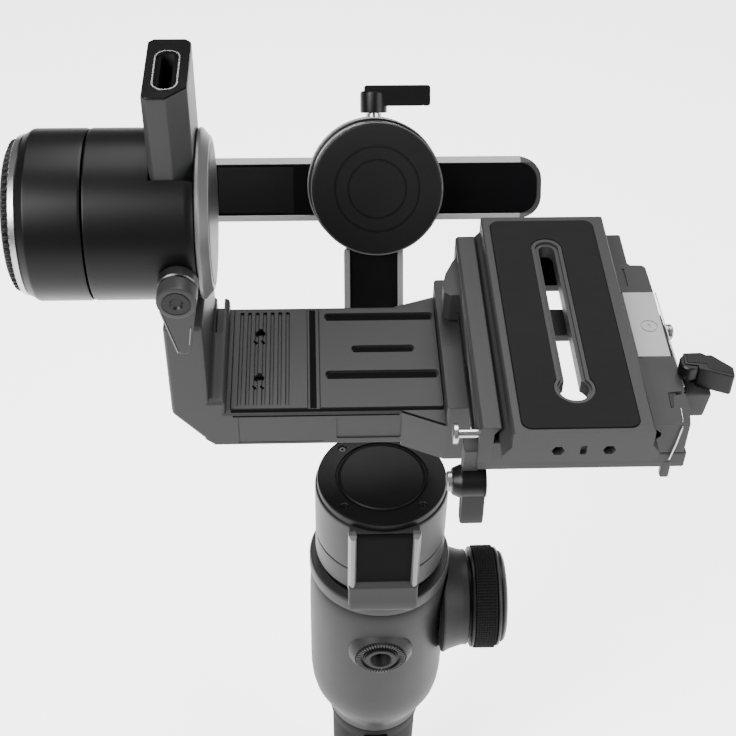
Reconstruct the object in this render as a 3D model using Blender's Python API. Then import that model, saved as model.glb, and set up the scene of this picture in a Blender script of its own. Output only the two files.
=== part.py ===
"""Hand-held three-axis camera stabilizer with a quick-release camera plate.

Frame: +Z up along the handle, -Y is the front where the lens points, +X is
the side with the focus wheel. The origin is the middle of the handle's foot.
Sizes below are in millimetres; to_object turns them into metres.
"""

import math

import bmesh
import bpy
from mathutils import Matrix, Vector

MM = 0.001
GAP = 0.3

# Heights along the handle
GRIP_TOP = 117.5
BLOCK_BOTTOM = 118.0
BLOCK_TOP = 228.5
COLLAR_BOTTOM = 230.0
COLLAR_TOP = 238.0
CAP_Z = 290.0

# Radii about the handle's axis
GRIP_R = 22.0
NECK_R = 24.0
BLOCK_R = 33.0
COLLAR_R = 33.0
PAN_R = 30.0
CAP_R = 29.0

# Focus wheel, turning about an axis along X
WHEEL_Z = 200.0
WHEEL_R = 25.0
WHEEL_BOSS_R = 23.2

# The three motor axes cross here
AXIS_Z = 438.0
ROLL_TILT = 32.5
ROLL_R = 30.0
ROLL_FACE = 112.0
ROLL_BACK = 136.0
TILT_R = 31.7

# Roll bar, in the roll frame (x across, y backwards along the axis)
BAR_FRONT = 140.0
BAR_BACK = 150.0
BAR_LOW = -16.6
BAR_HIGH = 12.6
BAR_RIGHT = 79.0
ELBOW_LEFT = -140.0
ELBOW_RIGHT = -120.0

# Tilt stage, measured from the axes' crossing
POST_TOP = 60.0
ARM_Y = (-28.0, 35.0)
ARM_TOP = -78.0
ARM_BOTTOM = -96.5
COLUMN_X = (22.0, 32.0)
COLUMN_Y = (-36.0, 41.0)
BASE_Z = (-68.0, -45.0)
BASE_Y = (-69.0, 41.0)
PLATE_Y = (-79.0, 44.0)

COLOURS = {
    "body_grey": ((0.085, 0.085, 0.088, 1.0), 0.42, 0.55),
    "handle_grey": ((0.11, 0.11, 0.115, 1.0), 0.5, 0.1),
    "satin_black": ((0.02, 0.02, 0.022, 1.0), 0.35, 0.2),
    "matt_black": ((0.014, 0.014, 0.015, 1.0), 0.6, 0.0),
    "rubber": ((0.018, 0.018, 0.018, 1.0), 0.85, 0.0),
    "bright_metal": ((0.55, 0.55, 0.56, 1.0), 0.28, 1.0),
    "copper": ((0.45, 0.2, 0.09, 1.0), 0.4, 1.0),
    "board_green": ((0.02, 0.12, 0.05, 1.0), 0.5, 0.0),
    "cell_blue": ((0.04, 0.08, 0.2, 1.0), 0.5, 0.0),
    "glass_black": ((0.01, 0.01, 0.012, 1.0), 0.08, 0.0),
}

frames = {}


def clear_scene():
    """Remove what the file starts with."""
    for item in list(bpy.data.objects):
        bpy.data.objects.remove(item, do_unlink=True)


def material(name):
    """Return the shared finish of that name, made once."""
    found = bpy.data.materials.get(name)
    if found:
        return found
    colour, rough, metal = COLOURS[name]
    made = bpy.data.materials.new(name)
    made.use_nodes = True
    shader = made.node_tree.nodes["Principled BSDF"]
    shader.inputs["Base Color"].default_value = colour
    shader.inputs["Roughness"].default_value = rough
    shader.inputs["Metallic"].default_value = metal
    made.diffuse_color = colour
    return made


def frame(name, parent, place, turn_x=0.0):
    """Make an empty on a joint's axis; place is measured from the parent."""
    empty = bpy.data.objects.new(name, None)
    bpy.context.collection.objects.link(empty)
    empty.empty_display_size = 0.02
    empty.location = Vector(place) * MM
    empty.rotation_euler = (math.radians(turn_x), 0.0, 0.0)
    if parent:
        empty.parent = frames[parent]
    frames[name] = empty
    return empty


def box(x, y, z, bevel=0.0):
    """Make a box from three (low, high) pairs, its edges bevelled if asked."""
    bm = bmesh.new()
    bmesh.ops.create_cube(bm, size=1.0)
    size = Vector((x[1] - x[0], y[1] - y[0], z[1] - z[0]))
    middle = Vector((x[0] + x[1], y[0] + y[1], z[0] + z[1])) / 2
    bmesh.ops.scale(bm, vec=size, verts=bm.verts)
    bmesh.ops.translate(bm, vec=middle, verts=bm.verts)
    if bevel:
        bmesh.ops.bevel(
            bm, geom=bm.edges[:], offset=bevel, segments=1, affect="EDGES"
        )
    return bm


AXES = {
    "X": lambda a, b, h: (h, a, b),
    "Y": lambda a, b, h: (a, h, b),
    "Z": lambda a, b, h: (a, b, h),
}


def prism(outline, axis, low, high, bevel=0.0):
    """Extrude a flat outline along an axis; bevel rounds its two rims."""
    bm = bmesh.new()
    put = AXES[axis]
    verts = [bm.verts.new(put(a, b, low)) for a, b in outline]
    face = bm.faces.new(verts)
    grown = bmesh.ops.extrude_face_region(bm, geom=[face])
    moved = [v for v in grown["geom"] if isinstance(v, bmesh.types.BMVert)]
    bmesh.ops.translate(bm, vec=put(0.0, 0.0, high - low), verts=moved)
    if bevel:
        rims = [f for f in bm.faces if len(f.verts) == len(outline)]
        edges = list({e for f in rims for e in f.edges})
        bmesh.ops.bevel(bm, geom=edges, offset=bevel, segments=1, affect="EDGES")
    bmesh.ops.recalc_face_normals(bm, faces=bm.faces)
    return bm


def turned(profile, axis, centre, segments=28):
    """Spin a closed (radius, height) outline about an axis through centre."""
    bm = bmesh.new()
    verts = [bm.verts.new((r, 0.0, h)) for r, h in profile]
    edges = [bm.edges.new((a, b)) for a, b in zip(verts, verts[1:])]
    if min(r for r, h in profile) > 0.0:
        edges.append(bm.edges.new((verts[-1], verts[0])))
    bmesh.ops.spin(
        bm,
        geom=verts + edges,
        cent=(0.0, 0.0, 0.0),
        axis=(0.0, 0.0, 1.0),
        angle=math.tau,
        steps=segments,
        use_merge=True,
    )
    bmesh.ops.remove_doubles(bm, verts=bm.verts, dist=0.001)
    bmesh.ops.dissolve_degenerate(bm, edges=bm.edges, dist=0.0005)
    bmesh.ops.recalc_face_normals(bm, faces=bm.faces)
    turn = {
        "Z": Matrix.Identity(4),
        "X": Matrix.Rotation(math.pi / 2, 4, "Y"),
        "Y": Matrix.Rotation(-math.pi / 2, 4, "X"),
    }[axis]
    bm.transform(Matrix.Translation(centre) @ turn)
    return bm


def disc(radius, low, high, axis="Z", centre=(0, 0, 0), segments=28, edge=0.0):
    """Make a plain cylinder, its two rims chamfered by edge."""
    profile = [(0.0, low), (radius - edge, low)]
    if edge:
        profile += [(radius, low + edge), (radius, high - edge)]
    else:
        profile += [(radius, high)]
    if edge:
        profile += [(radius - edge, high)]
    profile += [(0.0, high)]
    return turned(profile, axis, centre, segments)


def ring(inner, outer, low, high, axis="Z", centre=(0, 0, 0), segments=28):
    """Make a plain tube."""
    profile = [(inner, low), (outer, low), (outer, high), (inner, high)]
    return turned(profile, axis, centre, segments)


def rounded(x, y, radius, steps=4):
    """Outline of a rectangle with round corners."""
    points = []
    corners = (
        (x[1] - radius, y[1] - radius, 0),
        (x[0] + radius, y[1] - radius, 90),
        (x[0] + radius, y[0] + radius, 180),
        (x[1] - radius, y[0] + radius, 270),
    )
    for cx, cy, start in corners:
        for i in range(steps + 1):
            angle = math.radians(start + 90 * i / steps)
            points.append(
                (cx + radius * math.cos(angle), cy + radius * math.sin(angle))
            )
    return points


def bare_object(name, bm):
    """Turn a bmesh in millimetres into a linked object in metres."""
    mesh = bpy.data.meshes.new(name)
    bmesh.ops.scale(bm, vec=(MM, MM, MM), verts=bm.verts)
    bm.to_mesh(mesh)
    bm.free()
    item = bpy.data.objects.new(name, mesh)
    bpy.context.collection.objects.link(item)
    return item


def combine(item, other, operation):
    """Apply one exact Boolean to an object and drop its tool."""
    tool = bare_object("tool", other)
    tool.parent = item.parent
    step = item.modifiers.new("shape", "BOOLEAN")
    step.operation = operation
    step.solver = "EXACT"
    step.object = tool
    graph = bpy.context.evaluated_depsgraph_get()
    shaped = bpy.data.meshes.new_from_object(item.evaluated_get(graph))
    item.modifiers.remove(step)
    old = item.data
    item.data = shaped
    shaped.name = item.name
    bpy.data.meshes.remove(old)
    bpy.data.objects.remove(tool, do_unlink=True)


def part(name, finish, where, shapes, cuts=(), sharp=32.0):
    """Make one named piece: shapes joined, cuts taken away, in a frame."""
    item = bare_object(name, shapes[0])
    for extra in shapes[1:]:
        combine(item, extra, "UNION")
    for cut in cuts:
        combine(item, cut, "DIFFERENCE")
    mesh = item.data
    mesh.materials.clear()
    mesh.materials.append(material(finish))
    mesh.shade_smooth()
    mesh.set_sharp_from_angle(angle=math.radians(sharp))
    item.parent = frames[where]
    return item


def make_frames():
    """Lay out the empties that stand on the joints' axes."""
    frame("handle", None, (0, 0, 0))
    frame("pan_axis", "handle", (0, 0, 0))
    frame("pan_fixed_roll", "pan_axis", (0, 0, AXIS_Z), -ROLL_TILT)
    frame("roll_axis", "pan_fixed_roll", (0, 0, 0))
    frame("roll_tilt", "roll_axis", (0, 0, 0), ROLL_TILT)
    frame("tilt_axis", "roll_tilt", (0, 0, 0))
    frame("arm_slide", "tilt_axis", (0, 0, 0))
    frame("plate_slide", "arm_slide", (0, 0, 0))


def make_handle():
    """Grip, block, battery and the controls."""
    part(
        "battery_cap", "satin_black", "handle",
        [turned([(0, 0), (22, 0), (24, 2), (24, 9), (22.5, 11.5), (0, 11.5)],
                "Z", (0, 0, 0))],
        [disc(4.8, -1, 7.5, segments=18)],
    )
    part(
        "battery_tube", "body_grey", "handle",
        [ring(15.8, 18.6, 11.8, 134.0)],
    )
    part("battery_cells", "cell_blue", "handle", [disc(15.3, 12.2, 133.0)])
    grip = turned(
        [(19.0, 11.8), (22.6, 11.8), (22.6, 15), (GRIP_R, 18), (21.4, 60),
         (GRIP_R, 105), (23.2, 112), (23.6, GRIP_TOP), (19.0, GRIP_TOP)],
        "Z", (0, 0, 0),
    )
    part(
        "grip_sleeve", "rubber", "handle", [grip],
        [box((-6.3, 6.3), (-26, -16.5), (80.7, 113.3)),
         box((-9.0, 9.0), (16.5, 28), (84.7, 114.3))],
    )
    body = turned(
        [(19.0, BLOCK_BOTTOM), (NECK_R, BLOCK_BOTTOM), (NECK_R, 123),
         (32, 143), (BLOCK_R, 160), (BLOCK_R, 222), (31.5, BLOCK_TOP),
         (9.0, BLOCK_TOP), (9.0, 222.5), (28.5, 222.5), (28.5, 146),
         (21.0, 128), (19.0, 125)],
        "Z", (0, 0, 0),
    )
    part(
        "handle_body", "handle_grey", "handle", [body],
        [disc(7.0, -36, -24, "Y", (0, 0, WHEEL_Z), 18),
         disc(6.0, 26, 36, "X", (0, 0, WHEEL_Z), 18),
         box((-12.3, 12.3), (27, 36), (178.7, 211.3)),
         box((-5.3, 5.3), (27, 36), (163.7, 174.3))],
    )
    part(
        "front_thread_ring", "body_grey", "handle",
        [turned([(5.5, -36.2), (6.4, -36.2), (6.4, -35.0), (8.4, -35.0),
                 (8.4, -36.2), (11.5, -36.2), (11.5, -33.4), (6.6, -33.4),
                 (6.6, -24.5), (5.5, -24.5)],
                "Y", (0, 0, WHEEL_Z), 32)],
    )
    part(
        "control_board", "board_green", "handle",
        [box((-20, 20), (14.5, 16.3), (150, 215))],
    )
    part(
        "display_window", "glass_black", "handle",
        [box((-12, 12), (29.5, 33.6), (179, 211), 0.8)],
    )
    part(
        "joystick", "rubber", "handle",
        [turned([(0, 20.2), (3.0, 20.2), (3.0, 26.0), (5.2, 27.0),
                 (5.2, 29.0), (3.5, 29.8), (0, 29.8)],
                "Y", (0, 0, 104), 18)],
    )
    part(
        "mode_button", "matt_black", "handle",
        [box((-4.5, 4.5), (20.4, 24.9), (87, 95), 0.6)],
    )
    part(
        "power_button", "matt_black", "handle",
        [box((-5, 5), (27.3, 34.3), (164, 174), 0.8)],
    )
    part(
        "trigger", "satin_black", "handle",
        [prism([(-20.9, 83), (-20.9, 111), (-23.5, 111), (-29.5, 104),
                (-29.0, 98), (-26.0, 90), (-25.5, 83)], "X", -6, 6, 0.8)],
    )


def make_wheel():
    """Focus wheel on the +X side of the block."""
    at = (0, 0, WHEEL_Z)
    boss = turned(
        [(6.0, 28.9), (20.0, 28.9), (25.5, 31.5), (24.2, 36.0),
         (WHEEL_BOSS_R, 40.0), (WHEEL_BOSS_R, 43.0), (6.0, 43.0)],
        "X", at,
    )
    part(
        "wheel_boss", "handle_grey", "handle", [boss],
        [disc(BLOCK_R + GAP, 150, 240)],
    )
    part(
        "wheel_shaft", "bright_metal", "handle",
        [disc(4.0, 30.0, 60.0, "X", at, 18)],
    )
    part(
        "wheel_core", "bright_metal", "handle",
        [turned([(4.3, 43.4), (19.5, 43.4), (19.5, 44.6), (24.4, 44.6),
                 (24.4, 46.0), (22.0, 46.0), (22.0, 56.6), (4.3, 56.6)],
                "X", at)],
    )
    knurl = []
    count = 40
    for i in range(count):
        for radius, share in ((24.1, 0.0), (WHEEL_R, 0.25), (WHEEL_R, 0.7),
                              (24.1, 0.95)):
            angle = math.tau * (i + share) / count
            knurl.append((radius * math.cos(angle),
                          WHEEL_Z + radius * math.sin(angle)))
    part(
        "wheel_rubber", "rubber", "handle", [prism(knurl, "X", 46.3, 56.3)],
        [disc(22.3, 40, 60, "X", at)],
    )
    part(
        "wheel_cap", "body_grey", "handle",
        [turned([(0, 60.4), (4.3, 60.4), (4.3, 56.9), (23.6, 56.9),
                 (24.0, 57.6), (23.6, 58.4), (21.6, 58.4), (21.6, 59.4),
                 (22.2, 59.4), (21.2, 60.8), (18.0, 61.8), (0, 62.2)],
                "X", at)],
    )


def make_pan():
    """Pan motor, the arm behind it and the roll motor it carries."""
    part(
        "pan_collar", "body_grey", "pan_axis",
        [ring(20.3, COLLAR_R, COLLAR_BOTTOM, COLLAR_TOP)],
    )
    part(
        "pan_gap_ring", "matt_black", "pan_axis",
        [ring(20.3, 28.4, COLLAR_TOP + GAP, 242.7)],
    )
    shell = turned(
        [(24.0, 243.0), (29.6, 243.0), (PAN_R, 244), (PAN_R, 255.8),
         (29.4, 256.4), (29.4, 257.2), (PAN_R, 257.8), (PAN_R, 286.0),
         (24.0, 286.0)], "Z", (0, 0, 0), 36,
    )
    part(
        "pan_shell", "body_grey", "pan_axis", [shell],
        [box((-16.1, 16.1), (-40, -26.7), (236, 292))],
    )
    part(
        "pan_stator", "copper", "handle",
        [turned([(9.3, 228.8), (19.8, 228.8), (19.8, 242.9), (22.0, 246),
                 (22.0, 280), (9.3, 280)], "Z", (0, 0, 0), 32)],
    )
    part(
        "pan_shaft", "bright_metal", "pan_axis",
        [disc(5.0, 216.0, 286.0, segments=18)],
    )
    part(
        "pan_bearing", "bright_metal", "handle",
        [ring(5.4, 8.9, 232.0, 241.0, segments=24)],
    )
    cap = turned(
        [(0, 286.3), (CAP_R, 286.3), (CAP_R, 289.3), (28.4, CAP_Z),
         (20.6, CAP_Z), (20.2, 289.4), (19.8, CAP_Z), (0, CAP_Z)],
        "Z", (0, 0, 0), 36,
    )
    holes = []
    for i in range(4):
        angle = math.radians(45 + 90 * i)
        spot = (24.3 * math.cos(angle), 24.3 * math.sin(angle), 0)
        holes.append(disc(1.5, 288.6, 292, "Z", spot, 16))
    part(
        "pan_cap", "satin_black", "pan_axis", [cap],
        holes + [box((-16.1, 16.1), (-40, -26.7), (236, 292))],
    )
    boss = prism(
        [(-27.0, 288.0), (-31.0, 288.0), (-33.0, 286.0), (-33.5, 256.0),
         (-36.0, 243.5), (-36.0, 238.6), (-27.0, 238.6)],
        "X", -15.8, 15.8,
    )
    part(
        "pan_front_boss", "bright_metal", "pan_axis", [boss],
        [box((-12.0, 12.0), (-40, -31.2), (253.7, 292)), disc(28.7, 237, 244)],
    )
    part(
        "pan_front_panel", "satin_black", "pan_axis",
        [prism([(-31.5, 288.0), (-33.0, 286.4), (-33.6, 254.0),
                (-31.5, 254.0)], "X", -11.7, 11.7)],
    )
    side = prism(
        [(29, 231), (36, 230.3), (51, 230.3), (51, 274.2), (95.4, 344),
         (84.5, 351), (39, 280), (39, 243), (29, 243)],
        "X", -15.0, 12.0, 2.0,
    )
    part(
        "pan_arm", "body_grey", "pan_axis", [side],
        [disc(COLLAR_R + GAP, 220, 242), disc(PAN_R + GAP, 238.3, 292),
         in_roll_frame(disc(ROLL_R + GAP, 110, 140, "Y"))],
    )


def in_roll_frame(bm):
    """Move a shape drawn in the roll frame to where the handle sees it."""
    turn = Matrix.Rotation(math.radians(-ROLL_TILT), 4, "X")
    bm.transform(Matrix.Translation((0, 0, AXIS_Z)) @ turn)
    return bm


def make_roll_motor():
    """Roll motor: a cup open at the front, closed by its cap."""
    at = (0, 0, 0)
    part(
        "roll_housing", "body_grey", "pan_fixed_roll",
        [turned([(10, 133), (26.5, 133), (26.5, 114.3), (29.4, 114.3),
                 (ROLL_R, 115.4), (ROLL_R, 135), (29.2, ROLL_BACK),
                 (10, ROLL_BACK)], "Y", at, 32)],
    )
    part(
        "roll_cap", "satin_black", "pan_fixed_roll",
        [turned([(0, ROLL_FACE), (12.6, 112), (13, 112.5), (13.4, 112),
                 (18.6, 112), (19, 112.5), (19.4, 112), (28.6, 112),
                 (29.4, 112.8), (29.4, 114), (0, 114)], "Y", at, 32)],
    )
    part(
        "roll_stator", "copper", "pan_fixed_roll",
        [ring(11.0, 26.0, 115.5, 132.5, "Y", at, 18)],
    )
    part(
        "roll_bearing", "bright_metal", "pan_fixed_roll",
        [ring(5.4, 9.7, 133.0, 136.0, "Y", at, 18)],
    )


def bar_section(grow=0.0):
    """Outline (y, z) of the roll bar, grown for the clamp's channel."""
    front = BAR_FRONT - grow
    back = BAR_BACK + grow
    low = BAR_LOW - grow
    high = BAR_HIGH + grow
    return [(front, low + 3), (front + 3, low), (back - 3, low),
            (back, low + 3), (back, high - 3), (back - 3, high),
            (front + 3, high), (front, high - 3)]


def make_roll_stage():
    """Clamp on the roll motor's shaft and the bar that slides in it."""
    at = (0, 0, 0)
    clamp = turned([(0, 136.6), (30.4, 136.6), (31.2, 137.4), (31.2, 152.2),
                    (30.4, 153), (0, 153)], "Y", at)
    part(
        "roll_clamp", "body_grey", "roll_axis",
        [clamp, box((-9, 9), (139, 151), (20, 31.0))],
        [prism(bar_section(GAP), "X", -60, 60),
         box((-60, 60), (149, 160), (-14.0, 10.0)),
         disc(2.8, 16.5, 40, "Z", (0, 145, 0), 16),
         disc(5.3, 130, 137.6, "Y", at, 18)],
    )
    part(
        "roll_shaft", "bright_metal", "roll_axis",
        [disc(5.0, 116.0, 137.3, "Y", at, 18)],
    )
    part(
        "roll_lock_bolt", "bright_metal", "roll_axis",
        [turned([(0, 17), (2.5, 17), (2.5, 31.5), (3.6, 31.5), (3.6, 33.0),
                 (2.5, 33.0), (2.5, 35.5), (0, 35.5)], "Z", (0, 145, 0), 18)],
    )
    lever = turned([(0, 35.8), (2.8, 35.8), (2.8, 33.3), (6.0, 33.3),
                    (6.3, 34.5), (6.3, 42.4), (5.6, 43.4), (0, 43.4)],
                   "Z", (0, 145, 0), 20)
    part(
        "roll_lock_lever", "satin_black", "roll_axis",
        [lever, prism([(0, 38.4), (25.6, 38.4), (26.4, 39.2), (26.4, 45.2),
                       (25.6, 46.0), (-3.6, 46.0), (-4.4, 45.2),
                       (-4.4, 42.0)], "Y", 141, 149, 0.8)],
    )
    bar = prism(
        rounded((-132, BAR_RIGHT), (BAR_LOW, BAR_HIGH), 9.0), "Y",
        BAR_FRONT, BAR_BACK,
    )
    item = part(
        "roll_bar", "body_grey", "roll_axis",
        [bar, box((ELBOW_LEFT, ELBOW_RIGHT), (140, 150),
                  (BAR_LOW, BAR_HIGH))],
    )
    combine(item, prism(bar_section(), "X", -150, 100), "INTERSECT")
    combine(item, box((ELBOW_LEFT, ELBOW_RIGHT), (20, 147),
                      (BAR_LOW, BAR_HIGH), 2.5), "UNION")
    combine(item, disc(TILT_R + GAP, -150, -110, "X"), "DIFFERENCE")
    combine(item, box((-118, 75), (139, 140.8), (-13.3, 9.3)), "DIFFERENCE")
    part(
        "roll_bar_strip", "glass_black", "roll_axis",
        [box((-117.7, 74.7), (140.1, 140.5), (-13.0, 9.0))],
    )


def make_tilt_motor():
    """Tilt motor: stator on the roll bar, rotor and clamp on its shaft."""
    at = (0, 0, 0)
    part(
        "tilt_housing", "satin_black", "roll_tilt",
        [turned([(26.0, -139.2), (28.6, -139.2), (29.2, -137.0),
                 (29.8, -134.6), (TILT_R, -131.2), (TILT_R, -111.0),
                 (31.3, -110.3), (10, -110.3), (10, -113.0), (26.0, -113.0)],
                "X", at, 32)],
    )
    knurl = []
    count = 36
    for i in range(count):
        for radius, share in ((26.6, 0.0), (28.0, 0.25), (28.0, 0.7),
                              (26.6, 0.95)):
            angle = math.tau * (i + share) / count
            knurl.append((radius * math.cos(angle), radius * math.sin(angle)))
    part(
        "tilt_end_cap", "bright_metal", "roll_tilt",
        [prism(knurl, "X", -140.9, -139.5)],
    )
    part(
        "tilt_stator", "copper", "roll_tilt",
        [ring(11.0, 25.5, -138.5, -113.5, "X", at, 18)],
    )
    part(
        "tilt_bearing", "bright_metal", "roll_tilt",
        [ring(5.4, 9.7, -113.0, -110.3, "X", at, 18)],
    )
    part(
        "tilt_shaft", "bright_metal", "tilt_axis",
        [disc(5.0, -138.0, -108.6, "X", at, 18)],
    )
    rotor = turned(
        [(0, -109.8), (31.3, -109.8), (TILT_R, -109.2), (TILT_R, -74),
         (31.0, -71.0), (0, -71.0)], "X", at, 36,
    )
    part(
        "tilt_rotor", "satin_black", "tilt_axis",
        [rotor, disc(6.5, -37.5, -20, "Y", (-77.6, 0, -5), 20)],
        [box((-86.8, -60), (-16.3, 22.3), (-40, 40)),
         disc(5.3, -114, -108.3, "X", at, 18),
         disc(2.8, -50, -10, "Y", (-77.6, 0, -5), 14)],
    )
    part(
        "tilt_flange", "satin_black", "tilt_axis",
        [turned([(0, -70.7), (TILT_R, -70.7), (TILT_R, -69.2), (30.8, -68.4),
                 (28.0, -66.0), (26.0, -66.0), (25.6, -66.5), (0, -66.5)],
                "X", at, 32)],
    )
    hub = turned([(0, -45), (6.4, -45), (7.2, -44.2), (7.2, -38.6),
                  (6.6, -37.8), (2.5, -37.8), (2.5, -16.8), (0, -16.8)],
                 "Y", (-77.6, 0, -5), 20)
    part(
        "tilt_lock_lever", "satin_black", "tilt_axis",
        [hub, prism([(-84.4, -5), (-71.0, -5), (-72.0, -16), (-74.5, -30),
                     (-78.5, -30), (-82.0, -16)], "Y", -44.4, -39.4, 1.0)],
        [disc(1.6, -46, -43.6, "Y", (-77.6, 0, -5), 16)],
    )


def make_arm():
    """L-shaped arm: post, leg, cross arm and the column under the base."""
    post = prism(
        [(-86.5, -14), (-84.5, -16), (-78, -16), (-71, -9), (-71, 20),
         (-73, 22), (-84.5, 22), (-86.5, 20)], "Z", -40, POST_TOP,
    )
    leg = prism(
        [(-86, -32), (-86, -78), (-72, -95), (-64.7, -95), (-64.7, -71.5),
         (-71, -71.5), (-71, -32)],
        "Y", ARM_Y[0], ARM_Y[1], 2.0,
    )
    cross = prism(
        [(-74, ARM_TOP), (23, ARM_TOP), (23, ARM_BOTTOM), (-70, ARM_BOTTOM),
         (-74, -93)], "Y", ARM_Y[0], ARM_Y[1], 1.5,
    )
    column = prism(
        [(5, ARM_Y[0]), (22, COLUMN_Y[0]), (32, COLUMN_Y[0]),
         (32, COLUMN_Y[1]), (22, COLUMN_Y[1]), (5, ARM_Y[1])],
        "Z", -98, ARM_TOP,
    )
    riser = prism(
        rounded(COLUMN_X, COLUMN_Y, 4.0), "Z", -98, BASE_Z[0] - GAP, 1.0,
    )
    part(
        "tilt_arm", "body_grey", "arm_slide",
        [post, leg, cross, column, riser],
        [prism(rounded((-83.3, -74.3), (-11, 14), 4.4), "Z", 38, 62),
         box((-21, 5), (-29, -27.6), (-93, -81)),
         prism(rounded((-70.2, -67.0), (12, 38), 1.4), "Z", -78, -70),
         box((-63.2, 22.2), (-26.2, 33.2), (-79.6, -70))],
    )
    part(
        "post_lining", "matt_black", "arm_slide",
        [prism(rounded((-83.0, -74.6), (-10.7, 13.7), 4.1), "Z", 38.3, 59.6)],
        [prism(rounded((-81.0, -76.6), (-8.7, 11.7), 2.1), "Z", 39.8, 62)],
    )
    top = box((-62.9, 21.9), (-25.9, 32.9), (-79.3, -77.2), 0.5)
    cuts = []
    for x in (-59.7, -56.5, -53.3, -50.1, -46.9, -43.7, -40.5):
        cuts.append(box((x - 0.6, x + 0.6), (-23.5, 30.5), (-77.9, -76)))
    cuts += [
        box((-32.5, -27), (-27, 34), (-77.9, -76)),
        box((-25, 21), (25.5, 29.5), (-78.2, -76)),
        box((-16, 14), (6, 9.5), (-78.2, -76)),
        box((-25, 21), (-9.5, -5), (-78.2, -76)),
        disc(2.2, -80, -76, "Z", (-52, 18.5, 0), 14),
        disc(2.2, -80, -76, "Z", (-52, -8, 0), 14),
    ]
    part("arm_top_plate", "body_grey", "arm_slide", [top], cuts)


def make_base():
    """Quick-release base: floor, left rail, right jaw and its fittings."""
    outline = [(30, BASE_Y[0]), (30, BASE_Y[1]), (98.7, BASE_Y[1]),
               (98.7, 21), (105.7, 21), (108, BASE_Y[0])]
    floor = prism(outline, "Z", BASE_Z[0], -60, 1.0)
    rail = prism([(30, -64), (30, -46), (31, -45), (38, -45), (35.4, -48.5),
                  (35.4, -64)], "Y", BASE_Y[0], BASE_Y[1])
    bulge = prism(
        [(23.0, 8), (23.4, 16), (27, 27), (31, 33), (31, 5), (25.5, 5)],
        "Z", -66, -55, 1.0,
    )
    deck = box((34, 90), (BASE_Y[0] + 1, BASE_Y[1] - 1), (-62, -53.3))
    bracket = box((25.0, 31.0), (-68.6, -61.0), (-75.0, -56.0), 0.8)
    lug = box((34.7, 37.3), (-70, -63.5), (-79, -64), 0.6)
    tab = box((99.5, 103.0), (-69, -66), (-73.5, -64), 0.8)
    windows = [
        box((50, 80), (-62, 36), (-70, -61)),
        box((50, 80), (-62, 36), (-57.5, -50)),
        box((50, 80), (8.8, 23.8), (-62, -56)),
        box((50, 80), (-61.9, -6.8), (-62, -56)),
    ]
    part(
        "quick_base", "body_grey", "arm_slide",
        [floor, rail, deck, bulge, bracket, lug, tab],
        windows + [disc(2.05, 20, 33, "X", (0, -65.5, -51.5), 14),
                   disc(2.3, 34, 40, "X", (0, -67, -76), 14),
                   disc(6.8, 20, 34.3, "X", (0, -67, -76), 20)],
    )
    jaw = prism(
        [(90.4, -59.7), (90.4, -53.3), (94.4, -53.3), (96.5, -50.8),
         (96.5, -49.2), (92.3, -45.8), (92.3, -45), (112, -45), (112, -59.7)],
        "Y", BASE_Y[0], BASE_Y[1],
    )
    item = part(
        "right_jaw", "body_grey", "arm_slide", [jaw], [],
    )
    combine(item, prism(
        [(80, -70), (80, 42), (99, 42), (99, 21), (106, 21), (109, -70)],
        "Z", -80, -30), "INTERSECT")
    combine(item, box((85, 106.8), (-33.3, 4.3), (-57.3, -40)), "DIFFERENCE")
    combine(item, disc(2.2, 98.2, 115, "X", (0, -13, -51), 16), "DIFFERENCE")
    part(
        "jaw_insert", "bright_metal", "arm_slide",
        [prism([(94.4, -57), (96.8, -50.8), (96.8, -49.2),
                (93.5, -45.8), (93.5, -44.8), (106.5, -44.8), (106.5, -57)],
               "Y", -33, 4)],
        [disc(3.4, -45.2, -40, "Z", (101, -16, 0), 22),
         disc(2.2, 98.2, 115, "X", (0, -13, -51), 16)],
    )
    part(
        "jaw_screw", "bright_metal", "arm_slide",
        [turned([(0, 98.5), (1.9, 98.5), (1.9, 108.6), (3.2, 108.6),
                 (3.2, 110.8), (2.4, 111.6), (0, 111.6)],
                "X", (0, -13, -51), 14)],
    )
    post = turned([(0, -50), (2.2, -50), (2.2, -47.9), (2.2, -40), (0, -40)],
                  "Z", (111, -42.5, 0), 18)
    part(
        "lever_post", "body_grey", "arm_slide",
        [prism([(109.0, -48.2), (119.0, -48.2), (117.6, -60), (109.0, -60)],
               "Y", -50.5, -35.5, 0.8), post],
    )
    part(
        "plate_lever", "satin_black", "arm_slide",
        [disc(4.3, -44.5, -38.6, "Z", (111, -42.5, 0), 18, 0.6),
         prism([(112, -39.0), (119, -39.4), (126, -46), (126, -49.5),
                (121.5, -50.5), (112.5, -48.6)], "Z", -47.6, -38.0, 0.8)],
        [disc(2.5, -48, -39.7, "Z", (111, -42.5, 0), 14)],
    )


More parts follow.
